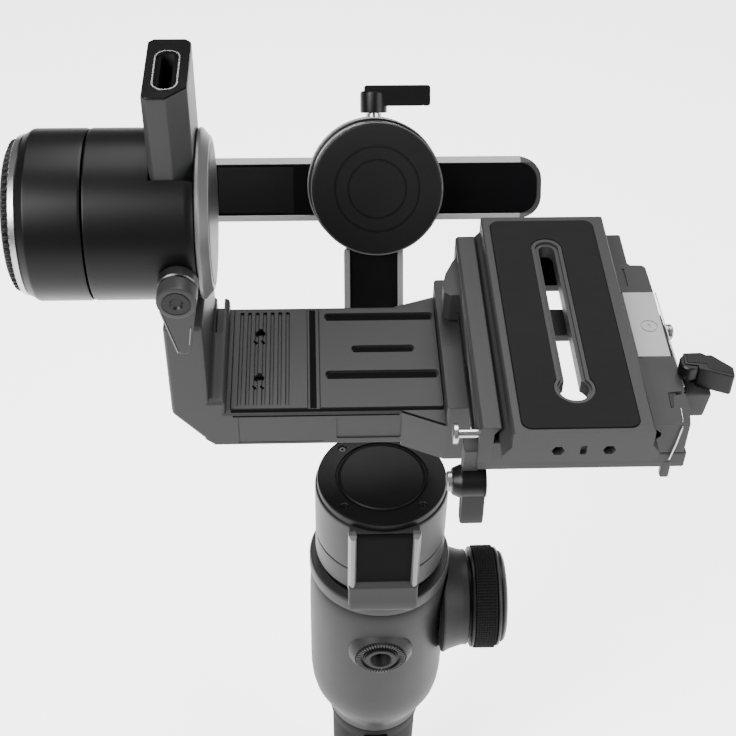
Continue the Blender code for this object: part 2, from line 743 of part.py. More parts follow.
def make_plate():
    """Sliding camera plate, its pad and the camera screw."""
    plate = prism(
        [(41, -37.5), (90.3, -37.5), (91, -38.2), (91, -45), (94, -49),
         (94, -51), (92.5, -52.8), (38.8, -52.8), (37.3, -51), (37.3, -49),
         (40.3, -45), (40.3, -38.2)], "Y", PLATE_Y[0], PLATE_Y[1],
    )
    slot = rounded((61.8, 68.2), (-61.9, 25.7), 3.19, 5)
    lip = rounded((58.9, 71.1), (-65.0, 28.9), 6.0, 6)
    part(
        "camera_plate", "body_grey", "plate_slide", [plate],
        [prism(slot, "Z", -60, -30),
         prism(lip, "Z", -40.5, -30),
         box((52, 78), (-74, 39), (-54, -44)),
         disc(4.8, -60, -30, "Z", (65, -57, 0), 18),
         disc(7.1, -39.5, -30, "Z", (65, -57, 0), 18),
         prism(rounded((43.3, 86.3), (-77.3, 41.3), 4.0), "Z", -38.5, -30),
         disc(2.6, -80, -72, "Y", (57, 0, -47), 6),
         disc(2.6, -80, -72, "Y", (75.5, 0, -47), 6),
         box((65, 67.5), (-80, -77), (-49, -44.5))],
    )
    part(
        "plate_pad", "rubber", "plate_slide",
        [prism(rounded((43.6, 86), (-77, 41), 3.7), "Z", -38.2, -36.9)],
        [prism(rounded((58.6, 71.4), (-65.3, 29.2), 6.3, 6), "Z", -40, -30)],
    )


def make_fittings():
    """Safety pin and the thumb lever under the base's front corner."""
    part(
        "safety_pin", "bright_metal", "arm_slide",
        [turned([(0, 20.6), (3.9, 20.6), (3.9, 22.6), (1.75, 22.6),
                 (1.75, 32.0), (0, 32.0)], "X", (0, -65.5, -51.5), 20)],
    )
    barrel = turned([(0, 18.4), (4.6, 18.4), (4.6, 20.2), (6.5, 20.2),
                     (6.5, 34.0), (2.0, 34.0), (2.0, 37.0), (0, 37.0)],
                    "X", (0, -67, -76), 24)
    part(
        "thumb_lever", "satin_black", "arm_slide",
        [barrel, prism([(-73.2, -77), (-67.5, -77), (-68.0, -87),
                        (-70.0, -92.5), (-74.4, -92.5), (-74.4, -87)],
                       "X", 24.8, 33.8, 0.9)],
    )


def main():
    clear_scene()
    make_frames()
    make_handle()
    make_wheel()
    make_pan()
    make_roll_motor()
    make_roll_stage()
    make_tilt_motor()
    make_arm()
    make_base()
    make_plate()
    make_fittings()


main()
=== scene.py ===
"""Studio scene of a hand-held three-axis camera stabilizer.

Lengths in the piece functions are in millimetres; make_piece turns them into
metres. Three drawing frames are used: the handle's own, the tilt frame whose
origin is where the motor axes cross, and the roll frame, which is the tilt
frame leaned so that its Y runs along the roll axis. FINE is the number of
flats round the large turned housings. The named points are where the axes
of the small turned parts run, in the frame that each part is drawn in.
"""

import math

import bmesh
import bpy
from bpy.props import (
    FloatProperty,
    FloatVectorProperty,
    IntProperty,
    PointerProperty,
)
from mathutils import Matrix, Vector


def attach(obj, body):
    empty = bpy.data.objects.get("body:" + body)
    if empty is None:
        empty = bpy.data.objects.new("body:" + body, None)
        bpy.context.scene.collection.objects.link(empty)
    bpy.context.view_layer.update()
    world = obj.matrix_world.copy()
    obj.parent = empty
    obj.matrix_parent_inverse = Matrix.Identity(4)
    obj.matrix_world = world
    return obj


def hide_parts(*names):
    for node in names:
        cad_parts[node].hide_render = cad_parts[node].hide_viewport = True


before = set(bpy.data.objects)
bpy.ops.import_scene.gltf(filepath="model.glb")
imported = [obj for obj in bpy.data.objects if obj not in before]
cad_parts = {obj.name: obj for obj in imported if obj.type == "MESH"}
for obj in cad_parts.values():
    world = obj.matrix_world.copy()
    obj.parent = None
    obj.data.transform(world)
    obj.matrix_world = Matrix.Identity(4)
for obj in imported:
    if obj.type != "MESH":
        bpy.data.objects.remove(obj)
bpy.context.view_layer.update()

bl_info = {
    "name": "Camera Stabilizer",
    "version": (1, 0, 0),
    "blender": (4, 5, 0),
    "location": "View3D > Sidebar > Stabilizer",
    "description": "Builds a three-axis camera stabilizer piece by piece",
    "category": "Add Mesh",
}

MM = 0.001
AXIS_Z = 438.0
ROLL_TILT = 32.5
WHEEL_Z = 200.0
FINE = 128
SHARP_FROM = math.radians(34.0)
JOYSTICK = (0, 0, 104)
ROLL_LOCK = (0, 145, 0)
TILT_LOCK = (-77.6, 0, -5)
KEYHOLE = (65, -57, 0)
JAW_SCREW = (0, -13, -51)
PLATE_LEVER = (111, -42.5, 0)
SAFETY_PIN = (0, -65.5, -51.5)
THUMB_LEVER = (0, -67, -76)

HANDLE = Matrix.Identity(4)
TILT = Matrix.Translation((0.0, 0.0, AXIS_Z))
ROLL = TILT @ Matrix.Rotation(math.radians(-ROLL_TILT), 4, "X")


# ---------------------------------------------------------------- settings

def colour(name, text, value):
    """A colour setting."""
    return FloatVectorProperty(
        name=name, description=text, default=value, size=3, min=0.0, max=1.0,
        subtype="COLOR",
    )


class StabilizerSettings(bpy.types.PropertyGroup):
    """Sizes and colours that a user would change."""

    edge: FloatProperty(
        name="Edge radius",
        description="Radius on the machined arms' edges",
        default=0.0006, min=0.0001, max=0.002, unit="LENGTH",
    )
    steps: IntProperty(
        name="Round steps",
        description="Flats round a turned part that states no number",
        default=96, min=24, max=192,
    )
    body_grey: colour(
        "Arm grey", "Anodised grey of the arms and the base",
        (0.014, 0.014, 0.0144),
    )
    handle_grey: colour(
        "Handle grey", "Moulded grey of the handle", (0.0085, 0.0085, 0.0088),
    )
    motor_black: colour(
        "Motor black", "Satin black of the motor housings",
        (0.0015, 0.0015, 0.0016),
    )
    cap_black: colour(
        "Cap black", "Black of the motor caps",
        (0.0027, 0.0027, 0.0028),
    )
    rubber_black: colour(
        "Rubber black", "Black of the pad, grip and wheel",
        (0.0028, 0.0028, 0.0029),
    )
    # Bare metal colour, also used as painted highlight on the roll cap's rim.
    bright: colour(
        "Bright metal", "Bare machined metal, also used for painted highlights", (0.30, 0.30, 0.305),
    )
    floor: colour("Floor", "Pale studio floor", (0.92, 0.92, 0.92))
    key: FloatProperty(
        name="Key light", description="Strength of the main soft light",
        default=56.0, min=0.0, max=500.0, subtype="POWER",
    )
    glow: FloatProperty(
        name="Floor glow", description="Light given off by the pale floor",
        default=1.9, min=0.0, max=10.0,
    )
    sky: FloatProperty(
        name="Sky", description="Strength of the even light all round",
        default=0.3, min=0.0, max=3.0,
    )


# ------------------------------------------------------------ node helpers

def new_group(name, inputs, outputs):
    """Make an empty shader group with named float or colour sockets."""
    tree = bpy.data.node_groups.new(name, "ShaderNodeTree")
    for label, kind, value in inputs:
        socket = tree.interface.new_socket(
            label, in_out="INPUT", socket_type=kind
        )
        socket.default_value = value
    for label, kind in outputs:
        tree.interface.new_socket(label, in_out="OUTPUT", socket_type=kind)
    source = tree.nodes.new("NodeGroupInput")
    sink = tree.nodes.new("NodeGroupOutput")
    source.location = (-800, 0)
    sink.location = (600, 0)
    return tree, source, sink


def add_node(tree, kind, place, **values):
    """Add a node, set its properties and its unlinked inputs."""
    node = tree.nodes.new(kind)
    node.location = place
    for name, value in values.items():
        if hasattr(node, name):
            setattr(node, name, value)
        else:
            node.inputs[name.replace("_", " ")].default_value = value
    return node


def wire(tree, *pairs):
    """Link each (output, input) pair of sockets."""
    for source, sink in pairs:
        tree.links.new(source, sink)


def moulded_grain():
    """Fine random texture, as on bead-blasted metal or moulded plastic."""
    found = bpy.data.node_groups.get("Moulded grain")
    if found:
        return found
    tree, source, sink = new_group(
        "Moulded grain",
        [("Size", "NodeSocketFloat", 2500.0),
         ("Depth", "NodeSocketFloat", 0.5)],
        [("Height", "NodeSocketFloat"), ("Mask", "NodeSocketFloat")],
    )
    coords = add_node(tree, "ShaderNodeTexCoord", (-800, 250))
    fine = add_node(tree, "ShaderNodeTexNoise", (-500, 150), Detail=3.0,
                    Roughness=0.65)
    cells = add_node(tree, "ShaderNodeTexVoronoi", (-500, -150))
    mixed = add_node(tree, "ShaderNodeMath", (-200, 0), operation="MULTIPLY")
    depth = add_node(tree, "ShaderNodeMath", (100, 0), operation="MULTIPLY")
    wire(
        tree,
        (coords.outputs["Object"], fine.inputs["Vector"]),
        (coords.outputs["Object"], cells.inputs["Vector"]),
        (source.outputs["Size"], fine.inputs["Scale"]),
        (source.outputs["Size"], cells.inputs["Scale"]),
        (fine.outputs["Fac"], mixed.inputs[0]),
        (cells.outputs["Distance"], mixed.inputs[1]),
        (mixed.outputs[0], depth.inputs[0]),
        (source.outputs["Depth"], depth.inputs[1]),
        (depth.outputs[0], sink.inputs["Height"]),
        (fine.outputs["Fac"], sink.inputs["Mask"]),
    )
    return tree


def handling_marks():
    """Slow patches and faint smears that change colour and gloss."""
    found = bpy.data.node_groups.get("Handling marks")
    if found:
        return found
    tree, source, sink = new_group(
        "Handling marks",
        [("Colour", "NodeSocketColor", (0.1, 0.1, 0.1, 1.0)),
         ("Roughness", "NodeSocketFloat", 0.4),
         ("Amount", "NodeSocketFloat", 0.1)],
        [("Colour", "NodeSocketColor"), ("Roughness", "NodeSocketFloat")],
    )
    coords = add_node(tree, "ShaderNodeTexCoord", (-1000, 250))
    slow = add_node(tree, "ShaderNodeTexNoise", (-800, 250), Scale=18.0,
                    Detail=5.0, Roughness=0.6)
    smear = add_node(tree, "ShaderNodeMapping", (-1000, -150),
                     Scale=(60.0, 220.0, 60.0))
    streak = add_node(tree, "ShaderNodeTexNoise", (-800, -150), Scale=1.0,
                      Detail=4.0)
    both = add_node(tree, "ShaderNodeMath", (-500, 0), operation="ADD")
    centre = add_node(tree, "ShaderNodeMath", (-300, 0), operation="SUBTRACT")
    centre.inputs[1].default_value = 1.0
    share = add_node(tree, "ShaderNodeMath", (-100, 0), operation="MULTIPLY")
    rough = add_node(tree, "ShaderNodeMath", (150, -150), operation="ADD")
    shade = add_node(tree, "ShaderNodeMath", (100, 150), operation="ADD")
    shade.inputs[1].default_value = 1.0
    tint = add_node(tree, "ShaderNodeVectorMath", (350, 150),
                    operation="SCALE")
    wire(
        tree,
        (coords.outputs["Object"], slow.inputs["Vector"]),
        (coords.outputs["Object"], smear.inputs["Vector"]),
        (smear.outputs[0], streak.inputs["Vector"]),
        (slow.outputs["Fac"], both.inputs[0]),
        (streak.outputs["Fac"], both.inputs[1]),
        (both.outputs[0], centre.inputs[0]),
        (centre.outputs[0], share.inputs[0]),
        (source.outputs["Amount"], share.inputs[1]),
        (source.outputs["Roughness"], rough.inputs[0]),
        (share.outputs[0], rough.inputs[1]),
        (share.outputs[0], shade.inputs[0]),
        (source.outputs["Colour"], tint.inputs[0]),
        (shade.outputs[0], tint.inputs["Scale"]),
        (tint.outputs[0], sink.inputs["Colour"]),
        (rough.outputs[0], sink.inputs["Roughness"]),
    )
    return tree


def turning_lines():
    """Fine concentric or straight tool lines on bare metal."""
    found = bpy.data.node_groups.get("Turning lines")
    if found:
        return found
    tree, source, sink = new_group(
        "Turning lines",
        [("Size", "NodeSocketFloat", 900.0)],
        [("Height", "NodeSocketFloat"), ("Mask", "NodeSocketFloat")],
    )
    coords = add_node(tree, "ShaderNodeTexCoord", (-800, 200))
    stretch = add_node(tree, "ShaderNodeMapping", (-600, 200),
                       Scale=(0.15, 1.0, 1.0))
    lines = add_node(tree, "ShaderNodeTexNoise", (-300, 200), Detail=4.0,
                     Roughness=0.7)
    wire(
        tree,
        (coords.outputs["Object"], stretch.inputs["Vector"]),
        (stretch.outputs[0], lines.inputs["Vector"]),
        (source.outputs["Size"], lines.inputs["Scale"]),
        (lines.outputs["Fac"], sink.inputs["Height"]),
        (lines.outputs["Fac"], sink.inputs["Mask"]),
    )
    return tree


def finish_material(name, base, rough, metal=0.0, grain=2500.0, depth=0.4,
                    bump=0.08, marks=0.06, specular=0.5, lined=False):
    """Principled finish with grain in its bump and marks in its gloss."""
    found = bpy.data.materials.get(name)
    if found:
        return found
    made = bpy.data.materials.new(name)
    made.use_nodes = True
    tree = made.node_tree
    shader = tree.nodes["Principled BSDF"]
    shader.inputs["Metallic"].default_value = metal
    shader.inputs["Specular IOR Level"].default_value = specular
    wear = add_node(tree, "ShaderNodeGroup", (-500, 200))
    wear.node_tree = handling_marks()
    wear.inputs["Colour"].default_value = (*base, 1.0)
    wear.inputs["Roughness"].default_value = rough
    wear.inputs["Amount"].default_value = marks
    tree.links.new(wear.outputs["Colour"], shader.inputs["Base Color"])
    tree.links.new(wear.outputs["Roughness"], shader.inputs["Roughness"])
    texture = add_node(tree, "ShaderNodeGroup", (-500, -200))
    texture.node_tree = turning_lines() if lined else moulded_grain()
    texture.inputs["Size"].default_value = grain
    if not lined:
        texture.inputs["Depth"].default_value = depth
    relief = add_node(tree, "ShaderNodeBump", (-250, -200))
    relief.inputs["Strength"].default_value = bump
    relief.inputs["Distance"].default_value = 0.0002
    tree.links.new(texture.outputs["Height"], relief.inputs["Height"])
    tree.links.new(relief.outputs["Normal"], shader.inputs["Normal"])
    return made


def finish(name):
    """The named finish, with its colour from the settings."""
    s = bpy.context.scene.stabilizer
    table = {
        "arm_grey": dict(
            name="anodised grey", base=tuple(s.body_grey), rough=0.42,
            grain=3200, depth=0.5, bump=0.10, specular=0.13,
        ),
        "handle_grey": dict(
            name="moulded handle grey", base=tuple(s.handle_grey), rough=0.5,
            grain=2200, depth=0.6, bump=0.14, specular=0.13,
        ),
        "motor_black": dict(
            name="satin black housing", base=tuple(s.motor_black), rough=0.36,
            grain=3500, depth=0.4, bump=0.06, marks=0.05, specular=0.1,
        ),
        "cap_black": dict(
            name="matt black cap", base=tuple(s.cap_black), rough=0.46,
            grain=3000, depth=0.5, bump=0.12, specular=0.12,
        ),
        "lever_black": dict(
            name="moulded black lever", base=(0.0018, 0.0018, 0.0019),
            rough=0.34, grain=2400, depth=0.5, bump=0.10, specular=0.13,
        ),
        "rubber": dict(
            name="black rubber", base=tuple(s.rubber_black), rough=0.78,
            grain=1800, depth=0.9, bump=0.25, marks=0.1, specular=0.1,
        ),
        # Bare metal of the shafts, pin and wires, also used as painted highlight
        # on the roll cap's rim.
        "bright": dict(
            name="bare machined metal and painted highlight", base=tuple(s.bright), rough=0.27,
            metal=1.0, grain=1200, depth=0.4, bump=0.08, marks=0.08,
            lined=True,
        ),
        "edge_bright": dict(
            name="polished chamfer", base=(0.16, 0.16, 0.163), rough=0.30,
            metal=0.85, grain=1500, depth=0.4, bump=0.05, marks=0.06,
            lined=True,
        ),
        # Lighter grey, a lit copy of the arm grey: painted highlight on rails,
        # rims, edges and the tilt flange where they face the light.
        "highlight_grey": dict(
            name="painted highlight grey", base=(0.075, 0.075, 0.077),
            rough=0.34, metal=0.5, grain=1500, depth=0.4, bump=0.05,
            marks=0.06, lined=True,
        ),
        "steel_dark": dict(
            name="dark steel screw", base=(0.04, 0.04, 0.042), rough=0.32,
            metal=0.9, grain=1600, depth=0.4, bump=0.06, marks=0.06,
            lined=True,
        ),
        "gap_black": dict(
            name="gap black", base=(0.0012, 0.0012, 0.0012), rough=0.7,
            grain=2000, depth=0.4, bump=0.05, marks=0.04, specular=0.03,
        ),
        "gloss_black": dict(
            name="gloss black inlay", base=(0.0012, 0.0012, 0.0014),
            rough=0.2, grain=2600, depth=0.3, bump=0.02, marks=0.04,
            specular=0.1,
        ),
        "copper": dict(
            name="wound copper", base=(0.42, 0.17, 0.07), rough=0.38,
            metal=1.0, grain=900, depth=0.4, bump=0.3, marks=0.08, lined=True,
        ),
        "board": dict(
            name="circuit board green", base=(0.01, 0.08, 0.03), rough=0.45,
            grain=1500, depth=0.4, bump=0.1,
        ),
        "cell": dict(
            name="blue cell sleeve", base=(0.02, 0.05, 0.16), rough=0.35,
            grain=1200, depth=0.3, bump=0.05,
        ),
        # Pale metal of the jaw insert, also used for painted highlight strips on
        # the pan arm.
        "insert_and_highlight_grey": dict(
            name="pale clamp metal and painted highlight", base=(0.15, 0.15, 0.153), rough=0.40,
            metal=0.3, grain=2600, depth=0.4, bump=0.06, marks=0.05,
        ),
    }
    return finish_material(**table[name])


# ------------------------------------------------------------ mesh helpers

AXES = {
    "X": lambda a, b, h: (h, a, b),
    "Y": lambda a, b, h: (a, h, b),
    "Z": lambda a, b, h: (a, b, h),
}
TURNS = {
    "Z": Matrix.Identity(4),
    "X": Matrix.Rotation(math.pi / 2, 4, "Y"),
    "Y": Matrix.Rotation(-math.pi / 2, 4, "X"),
}


def soften(bm, width, segments=2, angle=28.0):
    """Bevel every edge that turns by more than the angle."""
    limit = math.radians(angle)
    edges = [
        e for e in bm.edges
        if len(e.link_faces) == 2 and e.calc_face_angle() > limit
    ]
    bmesh.ops.bevel(
        bm, geom=edges, offset=width, segments=segments, profile=0.5,
        affect="EDGES", clamp_overlap=True, material=-1,
    )
    return bm


def block(x, y, z, edge=0.0, segments=2):
    """A box between three (low, high) pairs with softened edges."""
    bm = bmesh.new()
    bmesh.ops.create_cube(bm, size=1.0)
    size = Vector((x[1] - x[0], y[1] - y[0], z[1] - z[0]))
    middle = Vector((x[0] + x[1], y[0] + y[1], z[0] + z[1])) / 2
    bmesh.ops.scale(bm, vec=size, verts=bm.verts)
    bmesh.ops.translate(bm, vec=middle, verts=bm.verts)
    if edge:
        soften(bm, edge, segments)
    return bm


def prism(outline, axis, low, high, edge=0.0, segments=2, angle=28.0):
    """Extrude a flat outline along an axis and soften its edges."""
    bm = bmesh.new()
    put = AXES[axis]
    face = bm.faces.new([bm.verts.new(put(a, b, low)) for a, b in outline])
    grown = bmesh.ops.extrude_face_region(bm, geom=[face])
    moved = [v for v in grown["geom"] if isinstance(v, bmesh.types.BMVert)]
    bmesh.ops.translate(bm, vec=put(0.0, 0.0, high - low), verts=moved)
    bmesh.ops.recalc_face_normals(bm, faces=bm.faces)
    if edge:
        soften(bm, edge, segments, angle)
    return bm


def turned(profile, axis="Z", centre=(0, 0, 0), steps=None):
    """Spin a (radius, height) outline about an axis."""
    steps = steps or bpy.context.scene.stabilizer.steps
    bm = bmesh.new()
    verts = [bm.verts.new((r, 0.0, h)) for r, h in profile]
    edges = [bm.edges.new((a, b)) for a, b in zip(verts, verts[1:])]
    if min(r for r, h in profile) > 0.0:
        edges.append(bm.edges.new((verts[-1], verts[0])))
    bmesh.ops.spin(
        bm, geom=verts + edges, cent=(0, 0, 0), axis=(0, 0, 1),
        angle=math.tau, steps=steps, use_merge=True,
    )
    bmesh.ops.remove_doubles(bm, verts=bm.verts, dist=0.0005)
    bmesh.ops.dissolve_degenerate(bm, edges=bm.edges, dist=0.0004)
    bmesh.ops.recalc_face_normals(bm, faces=bm.faces)
    bm.transform(Matrix.Translation(centre) @ TURNS[axis])
    return bm


def rod(radius, low, high, axis="Z", centre=(0, 0, 0), steps=32, edge=0.0):
    """A round bar with chamfered rims."""
    if edge:
        profile = [(0, low), (radius - edge, low), (radius, low + edge),
                   (radius, high - edge), (radius - edge, high), (0, high)]
    else:
        profile = [(0, low), (radius, low), (radius, high), (0, high)]
    return turned(profile, axis, centre, steps)


def rounded(x, y, radius, steps=8):
    """Outline of a rectangle with round corners."""
    points = []
    corners = (
        (x[1] - radius, y[1] - radius, 0),
        (x[0] + radius, y[1] - radius, 90),
        (x[0] + radius, y[0] + radius, 180),
        (x[1] - radius, y[0] + radius, 270),
    )
    for cx, cy, start in corners:
        for i in range(steps + 1):
            angle = math.radians(start + 90 * i / steps)
            points.append(
                (cx + radius * math.cos(angle), cy + radius * math.sin(angle))
            )
    return points


def hexagon(x, y, radius):
    """Outline of a six-sided socket."""
    return [
        (x + radius * math.cos(math.radians(60 * i)),
         y + radius * math.sin(math.radians(60 * i)))
        for i in range(6)
    ]


def grouped(*meshes):
    """Put several closed shapes into one mesh."""
    whole = bmesh.new()
    for bm in meshes:
        copy = bpy.data.meshes.new("shape")
        bm.to_mesh(copy)
        bm.free()
        whole.from_mesh(copy)
        bpy.data.meshes.remove(copy)
    return whole


def temporary(bm):
    """Link a short-lived object that holds the mesh."""
    mesh = bpy.data.meshes.new("shape")
    bm.to_mesh(mesh)
    bm.free()
    item = bpy.data.objects.new("shape", mesh)
    bpy.context.scene.collection.objects.link(item)
    return item


def combined(bm, other, operation):
    """Join or cut two closed shapes exactly."""
    item, tool = temporary(bm), temporary(other)
    step = item.modifiers.new("shape", "BOOLEAN")
    step.operation = operation
    step.solver = "EXACT"
    step.use_self = True
    step.object = tool
    graph = bpy.context.evaluated_depsgraph_get()
    shaped = item.evaluated_get(graph).to_mesh()
    result = bmesh.new()
    result.from_mesh(shaped)
    for spent in (item, tool):
        mesh = spent.data
        bpy.data.objects.remove(spent, do_unlink=True)
        bpy.data.meshes.remove(mesh)
    bmesh.ops.remove_doubles(result, verts=result.verts, dist=0.0005)
    bmesh.ops.dissolve_degenerate(result, edges=result.edges, dist=0.0004)
    return result


def cut(bm, *tools):
    """Take the tools away from a shape."""
    return combined(bm, grouped(*tools), "DIFFERENCE")


def fused(bm, *others):
    """Join shapes that overlap into one closed shape."""
    return combined(bm, grouped(*others), "UNION")


def toothed(count, inner, outer, axis, centre, low, high, edge=0.0):
    """A gear-like ring of flat-topped teeth, extruded along an axis."""
    points = []
    a0, b0 = centre
    for i in range(count):
        for radius, share in ((inner, 0.0), (outer, 0.3), (outer, 0.7)):
            angle = math.tau * (i + share) / count
            points.append(
                (a0 + radius * math.cos(angle), b0 + radius * math.sin(angle))
            )
    return prism(points, axis, low, high, edge, 1)


def bar_between(start, end, radius, steps=10):
    """A thin round bar from one point to another."""
    start, end = Vector(start), Vector(end)
    run = end - start
    bm = bmesh.new()
    bmesh.ops.create_cone(
        bm, cap_ends=True, segments=steps, radius1=radius, radius2=radius,
        depth=run.length + radius,
    )
    turn = run.to_track_quat("Z", "Y").to_matrix().to_4x4()
    bm.transform(Matrix.Translation((start + end) / 2) @ turn)
    return bm


def make_piece(name, bm, look, body, nodes=(), place=HANDLE):
    """Turn a shape drawn in millimetres into a finished, riding piece."""
    bm.transform(place)
    bmesh.ops.scale(bm, vec=(MM, MM, MM), verts=bm.verts)
    if not bm.faces:
        raise RuntimeError(f"{name} has no faces")
    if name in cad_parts:
        name += "_visual"
    mesh = bpy.data.meshes.new(name)
    bm.to_mesh(mesh)
    bm.free()
    mesh.materials.append(finish(look))
    mesh.shade_smooth()
    mesh.set_sharp_from_angle(angle=SHARP_FROM)
    item = bpy.data.objects.new(name, mesh)
    bpy.context.scene.collection.objects.link(item)
    even = item.modifiers.new("even shading", "WEIGHTED_NORMAL")
    even.keep_sharp = True
    even.weight = 50
    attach(item, body)
    if nodes:
        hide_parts(*nodes)
    return item


# ------------------------------------------------------------------ handle

class STABILIZER_OT_handle(bpy.types.Operator):
    """Grip, upper block, battery cap and the threaded front boss"""

    bl_idname = "stabilizer.handle"
    bl_label = "Handle"

    def execute(self, context):
        body = turned(
            [(19.0, 118.0), (23.6, 118.0), (24.0, 118.4), (24.0, 122.0),
             (24.4, 124.0), (25.5, 127.2), (29.6, 135.6), (31.4, 140.2),
             (32.4, 145.4), (32.9, 152.0), (33.0, 160.0), (33.0, 204.0),
             (32.9, 214.0), (32.6, 221.0), (32.2, 225.0), (31.4, 227.6),
             (30.4, 228.5), (9.0, 228.5), (9.0, 222.5), (28.5, 222.5),
             (28.5, 146.0), (21.0, 128.0), (19.0, 125.0)],
            steps=FINE,
        )
        bezel = turned(
            [(7.2, -27.0), (15.4, -27.0), (15.0, -31.4), (13.6, -33.2),
             (12.4, -34.6), (12.1, -34.6), (12.1, -33.0), (7.2, -33.0)],
            "Y", (0, 0, WHEEL_Z), 64,
        )
        body = cut(
            fused(body, bezel),
            rod(7.0, -40, -24, "Y", (0, 0, WHEEL_Z)),
            rod(6.0, 26, 36, "X", (0, 0, WHEEL_Z)),
            prism(rounded((-12.3, 12.3), (178.7, 211.3), 2.0), "Y", 27, 36),
            prism(rounded((-5.3, 5.3), (163.7, 174.3), 1.6), "Y", 27, 36),
        )
        make_piece("handle_block", body, "handle_grey", "handle",
                   ["handle_body"])
        seam = turned(
            [(31.0, 228.6), (31.0, 229.2), (20.6, 229.2), (20.6, 228.6)],
        )
        make_piece("block_top_seal", seam, "gap_black", "handle", [])

        sleeve = [(19.0, 11.8), (22.2, 11.8), (22.6, 12.2), (22.6, 14.6),
                  (22.2, 15.4)]
        for i in range(40):
            z = 16.0 + 2.4 * i
            if z + 1.8 > 79.5:
                break
            swell = 21.4 + 0.6 * abs(z - 60) / 45
            sleeve += [(swell, z), (swell, z + 1.4), (swell - 0.5, z + 1.8),
                       (swell - 0.5, z + 2.2)]
        sleeve += [(21.7, 80.5), (22.0, 105), (22.6, 109), (23.2, 112),
                   (23.6, 115), (23.6, 117.0), (23.2, 117.5), (19.0, 117.5)]
        sleeve = cut(
            turned(sleeve, steps=96),
            prism(rounded((-6.3, 6.3), (80.7, 113.3), 2.4), "Y", -28, -16.5),
            prism(rounded((-9.0, 9.0), (84.7, 114.3), 3.0), "Y", 16.5, 28),
        )
        make_piece("grip_sleeve", sleeve, "rubber", "handle",
                   ["grip_sleeve"])

        foot = turned(
            [(0, 0), (21.6, 0), (23.4, 0.8), (24.0, 2.2), (24.0, 3.4),
             (23.5, 3.8), (23.5, 4.2), (24.0, 4.6), (24.0, 8.8),
             (23.6, 9.8), (22.5, 11.5), (0, 11.5)],
        )
        coin = prism(rounded((-13, 13), (-1.2, 1.2), 1.1), "Z", -1, 1.4)
        thread = [(0, -1), (5.4, -1), (4.8, 0.2)]
        for i in range(6):
            thread += [(4.8, 0.4 + i * 1.1), (4.35, 0.9 + i * 1.1)]
        thread += [(4.6, 7.5), (0, 7.5)]
        foot = cut(foot, turned(thread, steps=32), coin)
        make_piece("battery_cap", foot, "cap_black", "handle",
                   ["battery_cap"])
        teeth = cut(
            toothed(60, 24.05, 24.45, "Z", (0, 0), 5.2, 8.4, 0.1),
            rod(23.9, 4, 10, steps=96),
        )
        make_piece("battery_cap_grip", teeth, "cap_black", "handle", [])
        return {"FINISHED"}


class STABILIZER_OT_front_thread(bpy.types.Operator):
    """Toothed ring and threaded hole on the block's front"""

    bl_idname = "stabilizer.front_thread"
    bl_label = "Front thread"

    def execute(self, context):
        at = (0, 0, WHEEL_Z)
        bore = [(6.6, -24.5), (5.5, -24.5)]
        y = -25.5
        while y > -35.4:
            bore += [(5.5, y), (5.05, y - 0.45)]
            y -= 0.9
        bore += [(5.5, -36.2), (7.0, -36.2), (7.4, -35.8), (7.4, -35.0),
                 (8.1, -35.0), (8.1, -33.4), (6.6, -33.4)]
        make_piece("front_thread", turned(bore, "Y", at, 64), "cap_black",
                   "handle", ["front_thread_ring"])
        teeth_round = 48
        teeth = []
        for i in range(teeth_round):
            tooth = prism(
                [(9.3, -0.4), (11.5, -0.5), (11.5, 0.5), (9.3, 0.4)],
                "Z", 33.6, 35.7, 0.2, 1,
            )
            bmesh.ops.rotate(
                tooth, verts=tooth.verts, cent=(0, 0, 0),
                matrix=Matrix.Rotation(math.tau * i / teeth_round, 3, "Z"),
            )
            teeth.append(tooth)
        ring = turned([(8.3, 33.3), (11.9, 33.3), (11.9, 34.2), (8.3, 34.2)],
                      steps=72)
        teeth = grouped(ring, *teeth)
        teeth.transform(
            Matrix.Translation(at) @ Matrix.Rotation(math.pi / 2, 4, "X")
        )
        make_piece("front_tooth_ring", teeth, "arm_grey", "handle", [])
        return {"FINISHED"}


